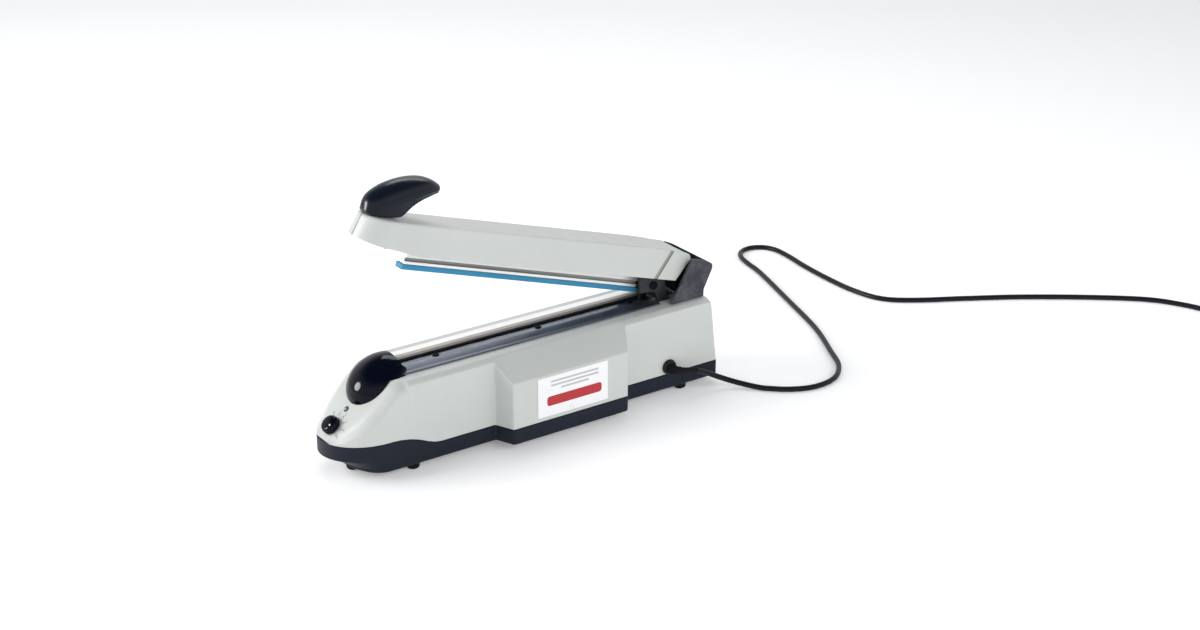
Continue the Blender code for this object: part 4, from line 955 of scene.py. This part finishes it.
def cord_path():
    """The lead as it lies: the seen run, then a tied coil of three turns, then the plug.

    The third turn climbs onto the first two, and the end lifts a little more to leave the coil.
    """
    lie = CORD_DIAMETER / 2
    points = [Vector((p.x, p.y, max(p.z, lie))) for p in smooth_route(cord_route(), 9.0)]
    leave = PLUG_HEADING - pi / 2 + 2 * pi * (COIL_TURNS + 1)
    steps = 56
    for k in range(steps + 1):
        a = lerp(COIL_ENTRY, leave, k / steps)
        turn = (a - COIL_ENTRY) / (2 * pi)
        r = lerp(COIL_IN_RADIUS, COIL_RADIUS, smooth_step(turn))
        r += (COIL_OUT_RADIUS - COIL_RADIUS) * smooth_step((turn - 1.75) / 0.4)
        z = lie + 5.4 * smooth_step((turn - 1.7) / 0.4) + 0.9 * smooth_step((turn - 2.9) / 0.3)
        points.append(COIL_CENTRE + Vector((r * cos(a), r * sin(a), z)))
    ahead = Vector((cos(PLUG_HEADING), sin(PLUG_HEADING), 0.0))
    side = Vector((ahead.y, -ahead.x, 0.0))
    top = points[-1].z
    for k in range(1, 8):
        t = k / 7
        z = lerp(top, PLUG_AXIS_Z, smooth_step(t))
        points.append(COIL_CENTRE + side * COIL_OUT_RADIUS + ahead * (PLUG_DISTANCE - 0.5) * t
                      + Vector((0.0, 0.0, z)))
    return points


def build_boot(mats):
    """Bent strain relief with shallow ribs, and the round flange that it leaves the shell by."""
    boot_route = smooth_route([(164.0, NEAR_Y - 0.4, 33.0), (165.0, NEAR_Y - 6.0, 32.6),
                               (172.0, NEAR_Y - 10.5, 31.4), (182.0, NEAR_Y - 11.6, 29.0),
                               (192.0, NEAR_Y - 12.0, 26.8)], 1.2)
    rings = []
    count = len(boot_route) - 1
    for k, p in enumerate(boot_route):
        ahead = (boot_route[min(k + 1, count)] - boot_route[max(k - 1, 0)]).normalized()
        side = ahead.cross(Vector((0.0, 0.0, 1.0))).normalized()
        up = side.cross(ahead)
        t = k / count
        rib = 0.3 if 0.1 < t < 0.6 and k % 4 in (1, 2) else 0.0
        radius = lerp(5.6, 3.3, smooth_step(t * 1.7)) - rib
        rings.append([tuple(p + side * radius * cos(a) + up * radius * sin(a))
                      for a in [2 * pi * i / 28 for i in range(28)]])
    boot = finish_mesh("strain_relief", loft(rings), mats["rubber"])
    flange = rounded([(0.0, -0.2), (8.3, -0.2), (8.3, 2.0), (7.2, 3.4), (0.0, 3.4)], 0.8)
    disc = turned(flange, 48)
    move(disc, shift((164.0, NEAR_Y, 34.0)) @ Matrix.Rotation(pi / 2, 4, "X"))
    base(weighted(boot), "cable_boot")
    base(weighted(finish_mesh("gland_ring", disc, mats["black"])))


def build_lead(mats):
    build_boot(mats)
    points = cord_path()
    curve = bpy.data.curves.new("mains_lead", "CURVE")
    curve.dimensions = "3D"
    curve.bevel_depth = CORD_DIAMETER / 2 * MM
    curve.bevel_resolution = 5
    curve.use_fill_caps = True
    spline = curve.splines.new("POLY")
    spline.points.add(len(points) - 1)
    for point, place in zip(spline.points, points):
        point.co = (*(place * MM), 1.0)
    curve.materials.append(mats["cord"])
    lead = linked("mains_lead", curve)
    base(lead, "mains_cord", "cord_coil", "plug_lead")
    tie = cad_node("coil_tie", mats["black"])
    plug = build_plug(mats)


def build_plug(mats):
    """Moulded two-pin plug, lying beside the coil in line with the lead's end."""
    place = shift(COIL_CENTRE) @ Matrix.Rotation(PLUG_HEADING, 4, "Z")
    place = place @ shift((PLUG_DISTANCE, -COIL_OUT_RADIUS, 0.0))
    half = [(0.0, 3.6), (14.0, 5.2), (22.0, 11.0), (36.0, 12.8), (41.0, 12.8)]
    outline = rounded_loop(half + [(x, -y) for x, y in reversed(half)], 3.0, 4)
    body = finish_mesh("plug_shell", move(prism(outline, "Z", 0.2, 12.8), place), mats["cord"], 2.2, 30.0, 4)
    base(body, "plug_body")
    pieces = [body]
    for tag, side in (("line", -1), ("neutral", 1)):
        pin = turned([(0.0, 0.0), (2.0, 0.0), (2.0, 17.4), (1.2, 18.6), (0.0, 18.7)], 24)
        move(pin, shift((41.2, side * 9.3, PLUG_AXIS_Z)) @ Matrix.Rotation(pi / 2, 4, "Y"))
        prong = finish_mesh(f"plug_prong_{tag}", move(pin, place), mats["brass"])
        base(prong, f"plug_pin_{tag}")
        pieces.append(prong)
    return pieces


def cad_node(name, mat):
    """A CAD node that stays in view, with a finished material."""
    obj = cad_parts[name]
    obj.data.materials.clear()
    obj.data.materials.append(mat)
    return obj


def dress_inside(mats):
    """Finished materials for the CAD nodes that stay in view or sit inside the covers."""
    looks = {
        "transformer_core": "lamination", "transformer_coil": "winding", "transformer_bracket": "steel",
        "timer_board": "circuit", "timer_pot": "steel", "timer_relay": "relay", "pot_shaft": "brass",
        "micro_switch": "black", "terminal_block": "terminal", "spring_post": "steel",
        "return_spring": "steel", "boot_nut": "black", "hinge_bush": "brass", "arm_bar": "black",
        "switch_rod": "black",
    }
    for name, look in looks.items():
        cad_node(name, mats[look])


# ---- stage, light and camera

LIT_POINT = Vector((0.0, 0.0, 0.12))    # in metres, above the middle of the base


def area_light(name, place, size, power):
    light = bpy.data.lights.new(name, "AREA")
    light.shape = "RECTANGLE"
    light.size, light.size_y = size
    light.energy = power
    obj = linked(name, light)
    obj.location = place
    obj.rotation_euler = (LIT_POINT - Vector(place)).to_track_quat("-Z", "Y").to_euler()
    return obj


def build_floor():
    mat, tree, shader = new_material("floor")
    colour_from(tree, shader, noise_node(tree, 3.0), MIDDLE, (0.94, 0.94, 0.94), (0.95, 0.95, 0.95))
    set_inputs(shader, Roughness=0.9, Specular_IOR_Level=0.1, Emission_Color=(1.0, 1.0, 1.0, 1.0),
               Emission_Strength=0.19)
    bm = bmesh.new()
    bmesh.ops.create_grid(bm, x_segments=1, y_segments=1, size=12.0)
    mesh = bpy.data.meshes.new("floor")
    bm.to_mesh(mesh)
    bm.free()
    mesh.materials.append(mat)
    linked("floor", mesh)


def build_world():
    """Studio surround: white around the horizon, dark overhead."""
    world = bpy.data.worlds.new("studio")
    bpy.context.scene.world = world
    world.use_nodes = True
    tree = world.node_tree
    place = tree.nodes.new("ShaderNodeTexCoord")
    split = tree.nodes.new("ShaderNodeSeparateXYZ")
    tree.links.new(place.outputs["Generated"], split.inputs["Vector"])
    level = tree.nodes.new("ShaderNodeValToRGB")
    stops = level.color_ramp.elements
    stops[0].position, stops[0].color = 0.40, (1.0, 1.0, 1.0, 1.0)
    stops[1].position, stops[1].color = 0.72, (0.10, 0.115, 0.14, 1.0)
    tree.links.new(split.outputs["Z"], level.inputs["Fac"])
    background = set_inputs(tree.nodes["Background"], Strength=1.05)
    tree.links.new(level.outputs["Color"], background.inputs["Color"])


def build_lights():
    """Soft lights for the diffuse shading, and a disk and a strip that only show as reflections."""
    key = area_light("key_left_back", (-1.75, 0.95, 1.15), (1.3, 1.1), 33.0)
    glint = area_light("glint_left", (-1.72, 0.80, 0.58), (0.72, 0.72), 38.0)
    glint.data.shape = "DISK"
    top = area_light("top_back", (0.40, 0.85, 1.75), (1.6, 0.9), 10.5)
    fill = area_light("fill_front", (0.6, -2.2, 1.35), (2.6, 1.1), 28.0)
    for light in (key, top, fill):
        light.visible_glossy = False
    sheen = area_light("sheen_back", (0.92, 0.92, 1.55), (1.5, 0.60), 13.0)
    for light in (glint, sheen):
        light.visible_diffuse = False


def build_camera():
    data = bpy.data.cameras.new("camera")
    data.lens, data.sensor_width = 66.0, 36.0
    data.clip_start, data.clip_end = 0.05, 40.0
    data.dof.use_dof = False
    camera = linked("camera", data)
    camera.location = (-1.1139, -1.7381, 1.0025)
    camera.rotation_euler = (radians(66.88), 0.0, radians(-34.89))
    bpy.context.scene.camera = camera


def main():
    bpy.context.scene.view_settings.view_transform = "Standard"
    mats = make_materials()
    build_skirt(mats)
    build_shell(mats)
    build_dome(mats)
    build_rail(mats)
    build_control(mats)
    build_hinge(mats)
    build_arm_shell(mats)
    build_handle(mats)
    build_jaw(mats)
    build_tail(mats)
    build_label(mats)
    build_lead(mats)
    dress_inside(mats)
    build_floor()
    build_world()
    build_lights()
    build_camera()


main()
